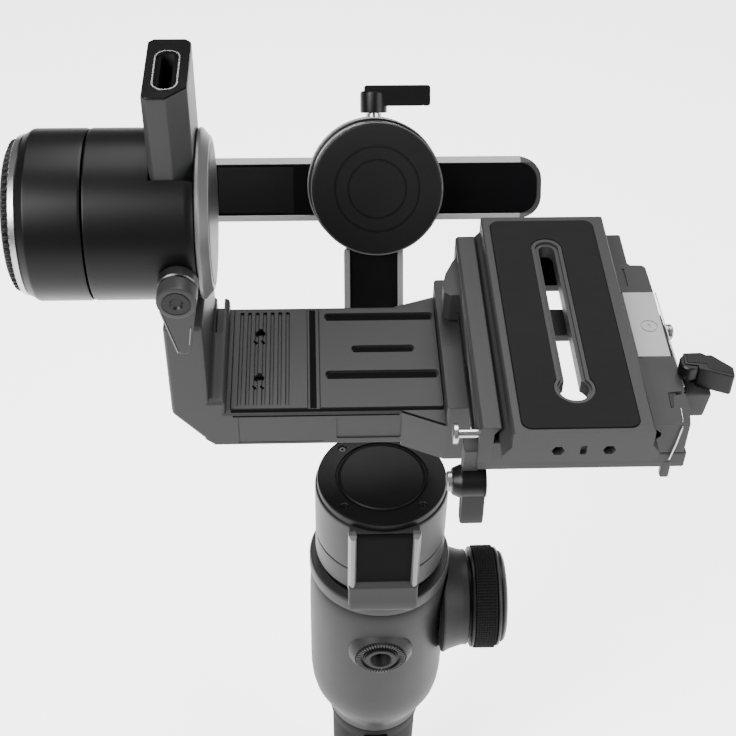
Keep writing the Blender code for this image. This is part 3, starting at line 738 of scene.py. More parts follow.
class STABILIZER_OT_controls(bpy.types.Operator):
    """Display, joystick, buttons and trigger"""

    bl_idname = "stabilizer.controls"
    bl_label = "Controls"

    def execute(self, context):
        glass = prism(rounded((-11.9, 11.9), (179.1, 210.9), 1.8), "Y",
                      29.5, 33.4, 0.4)
        make_piece("display_glass", glass, "gloss_black", "handle",
                   ["display_window"])
        frame_ring = cut(
            prism(rounded((-12.2, 12.2), (178.8, 211.2), 2.0), "Y", 30, 33.7),
            prism(rounded((-11.95, 11.95), (179.05, 210.95), 1.85), "Y",
                  29, 35),
        )
        make_piece("display_frame", frame_ring, "edge_bright", "handle", [])
        stick = turned(
            [(0, 20.2), (3.0, 20.2), (3.0, 25.2), (3.4, 26.4), (5.0, 27.0),
             (5.3, 27.6), (5.2, 29.0), (4.4, 29.7), (3.2, 29.5), (1.5, 29.2),
             (0, 29.1)], "Y", JOYSTICK, 48)
        make_piece("joystick", stick, "rubber", "joystick", ["joystick"])
        collar = turned([(3.4, 20.6), (6.4, 20.6), (6.4, 22.6), (5.8, 23.2),
                         (4.6, 22.6), (3.4, 21.4)], "Y", JOYSTICK, 48)
        make_piece("joystick_collar", collar, "cap_black", "handle", [])
        mode = prism(rounded((-4.4, 4.4), (87.1, 94.9), 2.4), "Y", 20.4,
                     24.9, 0.6, 3)
        make_piece("mode_button", mode, "lever_black", "mode_button",
                   ["mode_button"])
        power = cut(
            prism(rounded((-4.9, 4.9), (164.1, 173.9), 1.4), "Y", 27.3, 34.2,
                  0.5, 3),
            turned([(1.9, 33.8), (2.4, 33.8), (2.4, 35), (1.9, 35)], "Y",
                   (0, 0, 169), 32),
        )
        make_piece("power_button", power, "lever_black", "power_button",
                   ["power_button"])
        trigger = prism(
            [(-20.9, 83), (-20.9, 111), (-23.2, 111), (-25.6, 109.2),
             (-28.0, 106.4), (-29.4, 103.6), (-29.6, 101.0), (-29.0, 98),
             (-27.6, 94.4), (-26.2, 90.6), (-25.6, 87), (-25.5, 83)],
            "X", -6, 6, 0.9, 3)
        make_piece("trigger", trigger, "lever_black", "trigger", ["trigger"])
        return {"FINISHED"}


class STABILIZER_OT_focus_wheel(bpy.types.Operator):
    """Focus wheel and the boss it turns on"""

    bl_idname = "stabilizer.focus_wheel"
    bl_label = "Focus wheel"

    def execute(self, context):
        at = (0, 0, WHEEL_Z)
        boss = turned(
            [(6.0, 28.9), (20.0, 28.9), (26.4, 30.6), (26.6, 31.4),
             (25.4, 33.6), (24.4, 36.4), (23.6, 39.0), (23.2, 40.6),
             (23.2, 42.6), (22.8, 43.0), (6.0, 43.0)], "X", at, 96)
        boss = cut(boss, rod(33.3, 150, 240, steps=FINE))
        make_piece("wheel_boss", boss, "handle_grey", "handle",
                   ["wheel_boss"])
        core = turned(
            [(4.3, 43.4), (19.5, 43.4), (19.5, 44.5), (24.1, 44.5),
             (24.5, 44.9), (24.5, 45.7), (24.2, 46.0), (22.0, 46.0),
             (22.0, 56.6), (4.3, 56.6)], "X", at, 96)
        make_piece("wheel_core", core, "cap_black", "focus_wheel",
                   ["wheel_core"])
        bands = [
            toothed(110, 24.5, 25.0, "X", (0, WHEEL_Z), 46.4 + 1.24 * i,
                    47.4 + 1.24 * i)
            for i in range(8)
        ]
        tyre = grouped(
            turned([(22.2, 46.3), (24.4, 46.3), (24.4, 56.3),
                    (22.2, 56.3)], "X", at, 96),
            cut(grouped(*bands), rod(23.6, 40, 60, "X", at, 96)),
        )
        make_piece("wheel_rubber", tyre, "rubber", "focus_wheel",
                   ["wheel_rubber"])
        cap = turned(
            [(0, 60.4), (4.3, 60.4), (4.3, 56.7), (23.4, 56.7),
             (24.0, 57.1), (24.1, 57.7), (23.7, 58.3), (21.4, 58.3),
             (21.4, 59.3), (22.2, 59.4), (22.2, 60.0), (21.4, 60.9),
             (19.6, 61.5), (17.0, 61.9), (12.0, 62.15), (0, 62.2)],
            "X", at, 96)
        make_piece("wheel_cap", cap, "arm_grey", "focus_wheel",
                   ["wheel_cap"])
        screw = cut(
            rod(3.2, 61.9, 62.6, "X", at, 40, 0.25),
            prism(hexagon(0, WHEEL_Z, 1.5), "X", 61.0, 63.0),
        )
        make_piece("wheel_screw", screw, "steel_dark", "focus_wheel", [])
        return {"FINISHED"}


# --------------------------------------------------------- pan and roll

class STABILIZER_OT_pan_motor(bpy.types.Operator):
    """Pan motor's shell, cap, collar and front boss"""

    bl_idname = "stabilizer.pan_motor"
    bl_label = "Pan motor"

    def execute(self, context):
        collar = turned(
            [(20.3, 230.0), (32.2, 230.0), (33.0, 230.8), (33.0, 236.6),
             (32.4, 237.6), (31.4, 238.0), (20.3, 238.0)], steps=FINE)
        make_piece("pan_collar", collar, "arm_grey", "pan_stage",
                   ["pan_collar"])
        gap = turned([(20.3, 238.2), (28.4, 238.2), (28.4, 242.9),
                      (20.3, 242.9)])
        make_piece("pan_gap_ring", gap, "gap_black", "pan_stage",
                   ["pan_gap_ring"])
        shell = turned(
            [(24.0, 243.0), (29.2, 243.0), (29.9, 243.5), (30.0, 244.2),
             (30.0, 255.9), (29.8, 256.3), (29.3, 256.5), (29.3, 257.1),
             (29.8, 257.3), (30.0, 257.7), (30.0, 285.2), (29.6, 285.9),
             (29.2, 286.0), (24.0, 286.0)], steps=FINE)
        make_piece("pan_shell", shell, "arm_grey", "pan_stage",
                   ["pan_shell"])
        cap = turned(
            [(0, 286.3), (28.9, 286.3), (29.0, 286.5), (29.0, 289.1),
             (28.7, 289.7), (28.1, 290.0), (21.0, 290.0), (20.7, 289.9),
             (20.5, 289.2), (19.9, 289.2), (19.7, 290.2), (19.2, 290.5),
             (18.6, 290.2), (18.4, 289.8), (0, 289.8)], steps=FINE)
        tools = []
        screws = []
        for i in range(4):
            angle = math.radians(45 + 90 * i)
            spot = (24.4 * math.cos(angle), 24.4 * math.sin(angle), 0)
            tools.append(turned([(0, 287), (1.7, 287), (1.7, 289.6),
                                 (2.2, 290.2), (0, 290.2)], "Z", spot, 28))
            screws.append(cut(
                rod(1.6, 287, 289.1, "Z", spot, 28, 0.25),
                prism(hexagon(spot[0], spot[1], 0.8), "Z", 288, 291),
            ))
        make_piece("pan_cap", cut(cap, *tools), "cap_black", "pan_stage",
                   ["pan_cap"])
        make_piece("pan_cap_screws", grouped(*screws), "steel_dark",
                   "pan_stage", [])
        boss = prism(
            [(-24.0, 286.8), (-31.0, 286.8), (-31.2, 254.5),
             (-33.8, 253.2), (-34.6, 249.0), (-35.6, 245.0),
             (-36.2, 242.6), (-36.3, 239.4), (-35.4, 238.7),
             (-24.0, 238.7)], "X", -15.6, 15.6)
        soften(boss, 1.2, 3, 40)
        boss = combined(
            boss,
            prism(rounded((-15.6, 15.6), (238.7, 300), 5.0), "Y", -42, -20),
            "INTERSECT")
        boss = cut(boss, rod(30.1, 243.1, 292, steps=FINE),
                   rod(28.8, 237, 244, steps=96))
        make_piece("pan_front_boss", boss, "arm_grey", "pan_stage",
                   ["pan_front_boss"])
        # The rails share the boss's grey; their lighter grey is painted highlight
        # on their lit front faces.
        rails = []
        for side in (-1, 1):
            rail = prism(
                [(side * 12.2, -29.0), (side * 12.2, -32.4),
                 (side * 13.2, -33.7), (side * 14.6, -33.5),
                 (side * 15.9, -31.4), (side * 15.9, -29.0)], "Z",
                249.5, 287.4)
            soften(rail, 0.5, 2)
            rails.append(rail)
        rails = cut(
            grouped(*rails), rod(30.15, 243.1, 292, steps=FINE),
            prism([(-34.6, 290), (-34.6, 285.6), (-28.0, 289.6)], "X",
                  -20, 20),
            prism([(-31.6, 249.0), (-34.8, 249.0), (-34.8, 255.0)], "X",
                  -20, 20))
        make_piece("pan_front_highlight_rails", rails, "highlight_grey", "pan_stage", [])
        panel = prism(
            [(-30.4, 287.0), (-31.4, 287.0), (-31.9, 286.0),
             (-32.1, 284.0), (-32.1, 255.4), (-31.7, 254.7),
             (-30.4, 254.7)], "X", -12.0, 12.0)
        soften(panel, 0.3, 2, 40)
        make_piece("pan_front_panel", panel, "gap_black", "pan_stage",
                   ["pan_front_panel"])
        return {"FINISHED"}


def motor_room(radius):
    """Space that the roll motor takes up, in the handle's frame."""
    room = rod(radius, 110, 140, "Y", steps=96)
    room.transform(ROLL)
    return room


class STABILIZER_OT_pan_arm(bpy.types.Operator):
    """Arm from the pan motor up to the roll motor"""

    bl_idname = "stabilizer.pan_arm"
    bl_label = "Pan arm"

    def execute(self, context):
        outline = [(29, 231), (36, 230.3), (49.0, 230.3), (50.6, 231.2),
                   (51, 233.0), (51, 272.4), (51.6, 275.2), (95.4, 344),
                   (84.5, 351), (40.0, 281.5), (39, 278), (39, 243),
                   (29, 243)]
        arm = prism(outline, "X", -15.0, 12.0)
        soften(arm, 2.2, 3, 50)
        channel = prism(
            [(36.0, 246.0), (42.5, 246.0), (42.5, 276.6), (91, 352.6),
             (82.0, 356.0), (36.0, 284.0)], "X", -12.2, 9.2)
        back = prism(
            [(48.2, 236.0), (54, 236.0), (54, 274.0), (100, 346.0),
             (94.6, 349.6), (48.2, 276.6)], "X", -9.5, 6.5)
        arm = cut(
            arm, channel, back, rod(33.3, 220, 242, steps=96),
            rod(30.3, 238.3, 292, steps=96), motor_room(30.3),
        )
        make_piece("pan_arm", arm, "arm_grey", "pan_stage", ["pan_arm"])
        # Pale strips along the arm's front edges: painted highlight on the lit
        # edges.
        rails = [
            prism([(38.6, 280.3), (84.1, 351.3), (85.3, 350.5),
                   (39.8, 279.5)], "X", low, low + 2.6, 0.2)
            for low in (-15.1, 9.5)
        ]
        make_piece("pan_arm_highlight_strips", cut(grouped(*rails), motor_room(30.4)),
                   "insert_and_highlight_grey", "pan_stage", [])
        fill = prism(
            [(39.6, 246.3), (42.2, 246.3), (42.2, 276.8), (88.0, 348.4),
             (85.4, 349.4), (39.6, 280.2)], "X", -12.0, 9.0, 0.3)
        make_piece("pan_arm_inlay", cut(fill, motor_room(30.4)), "motor_black",
                   "pan_stage", [])
        cover = prism(
            [(48.5, 236.6), (50.3, 236.6), (50.3, 275.4), (94.0, 344.6),
             (92.2, 345.8), (48.5, 276.8)], "X", -9.2, 6.2, 0.3)
        make_piece("pan_arm_back_cover", cut(cover, motor_room(30.4)), "cap_black",
                   "pan_stage", [])
        return {"FINISHED"}


class STABILIZER_OT_roll_motor(bpy.types.Operator):
    """Roll motor's housing and front cap"""

    bl_idname = "stabilizer.roll_motor"
    bl_label = "Roll motor"

    def execute(self, context):
        housing = turned(
            [(10, 133), (26.5, 133), (26.5, 114.3), (29.3, 114.3),
             (29.8, 114.6), (30.0, 115.2), (30.0, 124.2), (29.6, 124.5),
             (29.6, 125.0), (30.0, 125.3), (30.0, 134.8), (29.7, 135.6),
             (29.0, 136.0), (10, 136)], "Y", steps=FINE)
        make_piece("roll_housing", housing, "arm_grey", "pan_stage",
                   ["roll_housing"], ROLL)
        cap = turned(
            [(0, 112.0), (12.6, 112.0), (12.8, 112.4), (13.3, 112.4),
             (13.5, 112.0), (18.6, 112.0), (18.8, 112.4), (19.3, 112.4),
             (19.5, 112.0), (28.4, 112.0), (29.2, 112.3), (29.4, 112.9),
             (29.4, 114.0), (0, 114.0)], "Y", steps=FINE)
        make_piece("roll_cap", cap, "cap_black", "pan_stage", ["roll_cap"],
                   ROLL)
        # Thin bright ring round the cap: painted highlight on its rim.
        rim = turned([(29.5, 113.3), (30.0, 113.3), (30.0, 114.2),
                      (29.5, 114.2)], "Y", steps=FINE)
        make_piece("roll_cap_highlight_rim", rim, "bright", "pan_stage", [],
                   ROLL)
        return {"FINISHED"}


def bar_outline(grow=0.0):
    """Cross-section (y, z) of the roll bar."""
    front, back = 140.0 - grow, 150.0 + grow
    low, high = -16.6 - grow, 12.6 + grow
    return [(front, low + 2.6), (front + 2.6, low), (back - 2.6, low),
            (back, low + 2.6), (back, high - 2.6), (back - 2.6, high),
            (front + 2.6, high), (front, high - 2.6)]


class STABILIZER_OT_roll_stage(bpy.types.Operator):
    """Clamp, sliding roll bar and its lock"""

    bl_idname = "stabilizer.roll_stage"
    bl_label = "Roll stage"

    def execute(self, context):
        at = (0, 0, 0)
        clamp = turned(
            [(0, 136.6), (29.9, 136.6), (30.9, 137.0), (31.3, 137.8),
             (31.3, 151.8), (30.9, 152.7), (30.2, 153.0), (0, 153)], "Y",
            at, FINE)
        clamp = cut(
            clamp,
            prism(bar_outline(0.3), "X", -60, 60),
            block((-60, 60), (149, 160), (-14, 10)),
            rod(2.8, 16.5, 40, "Z", ROLL_LOCK),
            rod(5.3, 130, 137.6, "Y", at),
        )
        make_piece("roll_clamp", clamp, "motor_black", "roll_stage",
                   ["roll_clamp"], ROLL)
        # Thin lighter rings at the clamp's two ends: painted highlight on its lit
        # rims.
        rims = [
            turned([(31.0, y), (31.5, y + 0.3), (31.5, y + 1.1),
                    (31.0, y + 1.4)], "Y", at, FINE)
            for y in (137.2, 151.4)
        ]
        make_piece("roll_clamp_highlight_rims", grouped(*rims), "highlight_grey",
                   "roll_stage", [], ROLL)
        bar = prism(
            rounded((-132, 79), (-16.6, 12.6), 11.0, 14), "Y", 140, 150)
        bar = fused(bar, block((-140, -120), (140, 150), (-16.6, 12.6)))
        bar = combined(bar, prism(bar_outline(), "X", -150, 100),
                       "INTERSECT")
        elbow = block((-140, -120), (20, 147), (-16.6, 12.6), 2.4, 3)
        bar = fused(bar, elbow)
        bar = cut(
            bar, rod(32.0, -150, -110, "X", at, FINE),
            prism(rounded((-118, 77.0), (-13.9, 9.9), 8.6, 14), "Y", 138,
                  140.9),
            prism(rounded((-60, 60), (-8, 4), 5.9), "Y", 148.6, 152),
        )
        make_piece("roll_bar", bar, "arm_grey", "roll_bar", ["roll_bar"],
                   ROLL)
        strip = prism(rounded((-117.8, 76.8), (-13.7, 9.7), 8.4, 14), "Y",
                      140.1, 140.6, 0.12)
        make_piece("roll_bar_strip", strip, "gloss_black", "roll_bar",
                   ["roll_bar_strip"], ROLL)
        panel = block((-73, -38), (139.95, 140.3), (-12.6, 8.6), 0.1)
        make_piece("roll_bar_panel", panel, "lever_black", "roll_bar", [],
                   ROLL)
        # Thin lighter strips along the bar's front edges: painted highlight on the
        # lit edges.
        rims = [
            prism([(139.95, high - side * 0.1), (142.75, high + side * 2.7),
                   (142.55, high + side * 2.9), (139.75, high + side * 0.1)],
                  "X", -104, 69)
            for side, high in ((1, 10.0), (-1, -14.0))
        ]
        make_piece("roll_bar_highlight_edges", grouped(*rims), "highlight_grey",
                   "roll_bar", [], ROLL)
        knob = turned(
            [(0, 35.8), (2.8, 35.8), (2.8, 33.3), (6.0, 33.3),
             (6.3, 33.8), (6.3, 42.2), (5.9, 43.1), (5.2, 43.4), (2.2, 43.4),
             (2.2, 42.9), (0, 42.9)], "Z", ROLL_LOCK, 56)
        handle = prism(
            [(0, 36.4), (22.6, 36.4), (22.8, 36.8), (23.2, 36.8),
             (23.4, 36.4), (25.6, 36.4), (26.4, 37.2), (26.4, 45.2),
             (25.6, 46.0), (-3.6, 46.0), (-4.4, 45.2), (-4.4, 42.0)],
            "Y", 141, 149)
        soften(handle, 0.7, 2, 40)
        make_piece("roll_lock_lever", fused(knob, handle), "lever_black",
                   "roll_lock", ["roll_lock_lever"], ROLL)
        return {"FINISHED"}


# ------------------------------------------------------------------- tilt

class STABILIZER_OT_tilt_motor(bpy.types.Operator):
    """Tilt motor, its flange and the clamp lever on its front"""

    bl_idname = "stabilizer.tilt_motor"
    bl_label = "Tilt motor"

    def execute(self, context):
        housing = turned(
            [(25.0, -135.2), (28.4, -135.2), (29.0, -134.6),
             (29.6, -133.4), (31.4, -130.6), (31.7, -129.8),
             (31.7, -111.4), (31.4, -110.5), (30.8, -110.3),
             (10, -110.3), (10, -113.0), (25.0, -113.0)],
            "X", steps=FINE)
        make_piece("tilt_housing", housing, "motor_black", "roll_bar",
                   ["tilt_housing"], TILT)
        ring = turned(
            [(25.0, -136.2), (28.4, -136.2), (29.3, -135.6),
             (29.9, -133.6), (29.6, -133.4), (29.0, -134.7),
             (28.4, -135.3), (25.0, -135.3)], "X", steps=FINE)
        make_piece("tilt_end_ring", ring, "bright", "roll_bar", [],
                   TILT)
        cap = fused(
            toothed(60, 26.7, 27.9, "X", (0, 0), -138.2, -136.0, 0.3),
            turned([(0, -139.1), (25.6, -139.1), (26.4, -138.6),
                    (26.6, -137.0), (0, -137.0)], "X", steps=96))
        make_piece("tilt_end_cap", cap, "cap_black", "roll_bar",
                   ["tilt_end_cap"], TILT)
        rotor = turned(
            [(0, -109.8), (31.0, -109.8), (31.5, -109.6), (31.7, -109.1),
             (31.7, -74.5), (31.4, -72.4), (30.8, -71.2), (30.2, -71.0),
             (0, -71.0)], "X", steps=FINE)
        boss = turned(
            [(0, -37.5), (6.0, -37.5), (6.5, -37.0), (6.5, -30), (7.6, -29),
             (7.6, -20), (0, -20)], "Y", TILT_LOCK, 64)
        rotor = cut(
            fused(rotor, boss),
            block((-86.8, -60), (-16.3, 22.3), (-40, 40)),
            rod(5.3, -114, -108.3, "X"),
            rod(2.8, -50, -10, "Y", TILT_LOCK),
        )
        make_piece("tilt_rotor", rotor, "motor_black", "tilt_stage",
                   ["tilt_rotor"], TILT)
        collar = turned(
            [(6.7, -37.4), (6.9, -37.4), (7.3, -37.0), (7.3, -33.0),
             (6.7, -33.0)], "Y", TILT_LOCK, 64)
        make_piece("tilt_lock_collar", collar, "steel_dark", "tilt_stage", [],
                   TILT)
        # The flange's lighter grey is partly its own satin grey ring and partly
        # painted highlight.
        flange = turned(
            [(0, -70.7), (31.2, -70.7), (31.7, -70.3), (31.7, -69.4),
             (31.3, -68.9), (30.6, -68.4), (28.4, -66.4), (27.8, -66.1),
             (26.4, -66.1), (26.0, -66.5), (0, -66.5)], "X", steps=FINE)
        make_piece("tilt_flange", flange, "highlight_grey", "tilt_stage",
                   ["tilt_flange"], TILT)
        face = turned([(0, -66.4), (25.8, -66.4), (25.8, -66.1),
                       (25.4, -65.9), (0, -65.9)], "X", steps=96)
        make_piece("tilt_flange_face", face, "motor_black", "tilt_stage",
                   [], TILT)
        hub = turned(
            [(0, -43.2), (2.4, -43.2), (2.7, -45.0), (4.7, -45.0),
             (4.8, -44.7), (5.2, -44.7), (5.3, -45.0), (6.4, -45.0),
             (7.0, -44.7), (7.2, -44.1), (7.2, -38.6), (6.6, -37.8),
             (2.5, -37.8), (2.5, -16.8), (0, -16.8)], "Y",
            TILT_LOCK, 72)
        blade = prism(
            [(-84.5, -5), (-70.9, -5), (-71.6, -13), (-72.6, -20),
             (-74.0, -28.4), (-75.0, -30.2), (-78.0, -30.2),
             (-79.2, -28.4), (-81.6, -18), (-83.6, -11)], "Y", -44.2,
            -39.4)
        soften(blade, 0.8, 3)
        make_piece("tilt_lock_lever", fused(hub, blade), "arm_grey",
                   "tilt_lock", ["tilt_lock_lever"], TILT)
        dark = turned([(0, -44.0), (4.7, -44.0), (4.7, -45.15),
                       (2.6, -45.15), (1.8, -44.4), (0, -44.4)], "Y",
                      TILT_LOCK, 64)
        make_piece("tilt_lock_eye", dark, "lever_black", "tilt_lock", [],
                   TILT)
        # Thin lighter strips on the lever blade: painted highlights along its
        # edges.
        lines = [
            prism([(-83.9, -9.0), (-83.5, -9.0), (-78.6, -29.0),
                   (-79.0, -29.2)], "Y", -44.5, -44.0),
            prism([(-73.6, -17.0), (-73.2, -17.0), (-74.2, -25.0),
                   (-74.6, -25.0)], "Y", -44.5, -44.0),
        ]
        make_piece("tilt_lock_highlight_lines", grouped(*lines), "highlight_grey",
                   "tilt_lock", [], TILT)
        return {"FINISHED"}


def post_slot(inset=0.0):
    """Outline of the slot in the post's top, drawn in by the inset."""
    return rounded((-83.3 + inset, -74.3 - inset), (-11 + inset, 14 - inset),
                   4.4 - inset)


class STABILIZER_OT_cross_arm(bpy.types.Operator):
    """Post, leg, cross arm and its ridged top plate"""

    bl_idname = "stabilizer.cross_arm"
    bl_label = "Cross arm"

    def execute(self, context):
        edge = context.scene.stabilizer.edge / MM
        post = prism(
            [(-86.5, -14), (-84.5, -16), (-78, -16), (-71, -9), (-71, 20),
             (-73, 22), (-84.5, 22), (-86.5, 20)], "Z", -60, 60.0,
            edge, 2)
        leg = prism(
            [(-86, -32), (-86, -78), (-72, -95), (-64.7, -95),
             (-64.7, -71.5), (-71, -71.5), (-71, -32)], "Y", -28, 35)
        soften(leg, 1.8, 3)
        cross = prism(
            [(-74, -78), (23, -78), (23, -96.5), (-70, -96.5),
             (-74, -93)], "Y", -28, 35)
        soften(cross, 1.2, 3)
        column = prism(
            [(5, -28), (22, -36), (32, -36), (32, 41), (22, 41), (5, 35)],
            "Z", -98, -78, edge, 2)
        riser = prism(rounded((22, 32), (-36, 41), 1.4), "Z", -98, -68.3,
                      edge, 2)
        arm = cut(
            fused(post, leg, cross, column, riser),
            prism(post_slot(), "Z", 38, 62),
            prism(rounded((-21, 5), (-93, -81), 1.0), "Y", -30, -27.5),
            prism(rounded((-63.2, 22.2), (-26.2, 33.2), 1.2), "Z", -79.6,
                  -70),
            prism(rounded((-70.2, -67.0), (12, 38), 1.4), "Z", -78, -70),
            block((-60.2, -59.7), (-30, -27.7), (-95, -80)),
            block((-60, -26), (-30, -27.6), (-94.6, -94.2)),
        )
        make_piece("tilt_arm", arm, "arm_grey", "arm", ["tilt_arm"],
                   TILT)
        lining = cut(
            prism(post_slot(0.3), "Z", 38.3, 59.6, 0.3),
            prism(rounded((-81.0, -76.6), (-8.7, 15.0), 2.1), "Z", 39.8,
                  62),
        )
        make_piece("post_lining", lining, "gap_black", "arm",
                   ["post_lining"], TILT)
        top = prism(
            rounded((-62.9, 21.9), (-25.9, 32.9), 1.0), "Z", -79.3, -77.2)
        soften(top, 0.3, 2)
        tools = []
        for i in range(7):
            x = -59.7 + 3.2 * i
            tools.append(prism(
                [(x - 0.9, -77.1), (x - 0.5, -78.1), (x + 0.5, -78.1),
                 (x + 0.9, -77.1)], "Y", -24, 31))
        tools.append(prism(
            [(-32.6, -77.0), (-32.2, -77.9), (-27.6, -77.9),
             (-27.0, -77.0)], "Y", -27, 34))
        inlays = []
        for y, x in (((25.2, 30.0), (-25, 21)), ((5.6, 9.9), (-14, 12)),
                     ((-9.9, -5.0), (-25, 21))):
            tools.append(prism(rounded(x, y, 1.6), "Z", -78.7, -76))
            inlays.append(prism(
                rounded((x[0] + 0.7, x[1] - 0.7), (y[0] + 0.5, y[1] - 0.5),
                        1.3), "Z", -78.75, -78.3))
        inlays.append(block((-31.4, -28.8), (-25.6, 32.6), (-78.0, -77.8)))
        make_piece("arm_slot_liners", grouped(*inlays), "gap_black", "arm",
                   [], TILT)
        for x, y, r in ((-52, 18.5, 2.2), (-52, -8, 2.2),
                        (-53.8, 13, 0.9), (-50.7, 13, 0.9),
                        (-53.8, -13.6, 0.9), (-50.7, -13.6, 0.9)):
            tools.append(rod(r, -80, -76, "Z", (x, y, 0), 28))
        make_piece("arm_top_plate", cut(top, *tools), "arm_grey", "arm",
                   ["arm_top_plate"], TILT)
        under = block((-62.5, 21.5), (-25.5, 32.5), (-79.55, -79.35))
        make_piece("arm_plate_gasket", under, "gap_black", "arm", [],
                   TILT)
        crown = cut(
            prism([(-86.3, -13.9), (-84.4, -15.8), (-78.1, -15.8),
                   (-71.2, -8.9), (-71.2, 19.9), (-73.1, 21.8),
                   (-84.4, 21.8), (-86.3, 19.9)], "Z", 59.9, 60.5, 0.2, 1),
            prism(post_slot(), "Z", 38, 62))
        make_piece("post_crown", crown, "gloss_black", "arm", [],
                   TILT)
        lip = cut(
            prism(post_slot(), "Z", 59.7, 60.7),
            prism(post_slot(0.5), "Z", 59, 62))
        make_piece("post_slot_rim", lip, "bright", "arm", [],
                   TILT)
        seam = grouped(
            block((-62.8, 21.8), (-27.3, -26.1), (-78.3, -77.8)),
            bar_between((-62.0, -28.05, -79.6), (4.0, -28.05, -79.6), 0.3),
            bar_between((5.4, -28.1, -78.2), (21.6, -35.6, -78.2), 0.45),
        )
        make_piece("arm_front_seam", seam, "gap_black", "arm", [],
                   TILT)
        return {"FINISHED"}


# ---------------------------------------------------- base, plate, fittings

class STABILIZER_OT_base(bpy.types.Operator):
    """Quick-release base, its left rail and the right clamp jaw"""

    bl_idname = "stabilizer.base"
    bl_label = "Base"

    def execute(self, context):
        edge = context.scene.stabilizer.edge / MM
        outline = [(30, -69), (30, 41), (98.7, 41), (98.7, 21),
                   (105.7, 21), (108, -69)]
        floor = prism(outline, "Z", -68, -60, 0.9, 2)
        rail = prism(
            [(30, -64), (30, -46), (31, -45), (37.6, -45), (38, -45.3),
             (35.4, -48.5), (35.4, -64)], "Y", -69.12, 41.1)
        soften(rail, 0.5, 2)
        bulge = prism(
            [(23.6, 14.0), (23.4, 19.0), (25.0, 26.0), (28.4, 33.6),
             (31.0, 37.0), (31.0, 12.0), (26.0, 12.0)], "Z", -66, -52,
            0.6, 2)
        deck = block((34, 90), (-68.9, 40.9), (-62, -53.3), 0.2)
        bracket = prism(
            [(-68.6, -58.0), (-61.0, -58.0), (-62.4, -75.0),
             (-67.6, -75.0)], "X", 25.0, 31.0, edge, 2)
        tab = block((99.5, 103.0), (-69.25, -66), (-73.5, -64.3), 0.7)
        base = fused(floor, rail, deck, bulge, bracket, tab)
        base = cut(base, block((50, 80), (-62, 36), (-70, -50)))
        bars = [
            block((49, 81), y, (-61, -57.5), 0.3)
            for y in ((23.8, 37.0), (-6.8, 8.8))
        ]
        base = cut(
            fused(base, *bars),
            rod(2.05, 20, 33, "X", SAFETY_PIN),
            rod(6.8, 20, 34.3, "X", THUMB_LEVER, 48),
            block((29, 30.5), (-50, 36), (-62.6, -62.1)),
        )
        make_piece("quick_base", base, "arm_grey", "arm", ["quick_base"],
                   TILT)
        jaw = prism(
            [(90.4, -59.7), (90.4, -53.3), (94.4, -53.3), (96.5, -50.8),
             (96.5, -49.2), (92.3, -45.8), (92.3, -45.4), (92.7, -45),
             (111.2, -45), (112, -45.8), (112, -59.7)], "Y", -69, 41)
        jaw = combined(jaw, prism(
            [(80, -70), (80, 42), (97.6, 42), (99, 40.4), (99, 22.4),
             (100, 21.2), (104.8, 21.0), (106, 19.6), (107.4, -30),
             (108.0, -60), (106.6, -68.8), (104, -70)], "Z", -80, -30),
            "INTERSECT")
        jaw = cut(
            jaw, block((85, 106.8), (-33.3, 4.3), (-57.3, -40)),
            rod(2.2, 98.2, 115, "X", JAW_SCREW),
            prism([(101.4, -52.4), (108.6, -51.4), (108.4, -53.0),
                   (103.2, -54.0), (102.2, -60.0), (101.0, -60.4)],
                  "Z", -48, -40),
            prism(rounded((96.2, 97.0), (8, 19), 0.35), "Z", -45.6, -44),
        )
        make_piece("right_jaw", jaw, "arm_grey", "arm", ["right_jaw"],
                   TILT)
        insert = prism(
            [(94.4, -57), (96.8, -50.8), (96.8, -49.2), (93.5, -45.8),
             (93.5, -45.2), (93.9, -44.8), (106.1, -44.8), (106.5, -45.2),
             (106.5, -57)], "Y", -33, 4)
        insert = cut(
            insert, rod(2.2, 98.2, 115, "X", JAW_SCREW),
            turned([(2.9, -45.1), (3.4, -45.1), (3.4, -44), (2.9, -44)],
                   "Z", (101, -16, 0), 48),
            prism(rounded((100.4, 101.6), (-17.2, -14.8), 0.5), "Z",
                  -45.1, -44),
        )
        make_piece("jaw_insert", insert, "insert_and_highlight_grey", "arm",
                   ["jaw_insert"], TILT)
        screw = turned(
            [(0, 98.5), (1.9, 98.5), (1.9, 108.6), (3.0, 108.6),
             (3.2, 108.9), (3.2, 109.6), (2.9, 109.8), (3.2, 110.0),
             (3.2, 110.9), (2.5, 111.6), (0, 111.6)], "X",
            JAW_SCREW, 40)
        make_piece("jaw_screw", screw, "edge_bright", "arm", ["jaw_screw"],
                   TILT)
        small = rod(1.6, 104.0, 106.9, "X", (0, 17, -51), 28, 0.4)
        make_piece("jaw_end_screw", small, "edge_bright", "arm", [],
                   TILT)
        latch = prism([(101.6, -52.6), (104.6, -52.4), (102.4, -59.4),
                       (101.3, -59.8)], "Z", -48.2, -45.2, 0.2)
        make_piece("jaw_latch", latch, "lever_black", "arm", [],
                   TILT)
        path = [(104.6, -61.2, -44.9), (104.2, -66.4, -44.8),
                (103.6, -69.5, -46.0), (102.6, -70.0, -54.0),
                (101.4, -69.8, -62.5)]
        wires = [bar_between(a, b, 0.3) for a, b in zip(path, path[1:])]
        make_piece("jaw_spring_wire", grouped(*wires), "bright", "arm", [],
                   TILT)
        edge_line = prism(
            [(106.9, 4.0), (107.3, 4.0), (108.2, -49.5), (107.8, -49.5)],
            "Z", -45.1, -44.8)
        make_piece("jaw_edge_line", edge_line, "bright", "arm", [],
                   TILT)
        return {"FINISHED"}


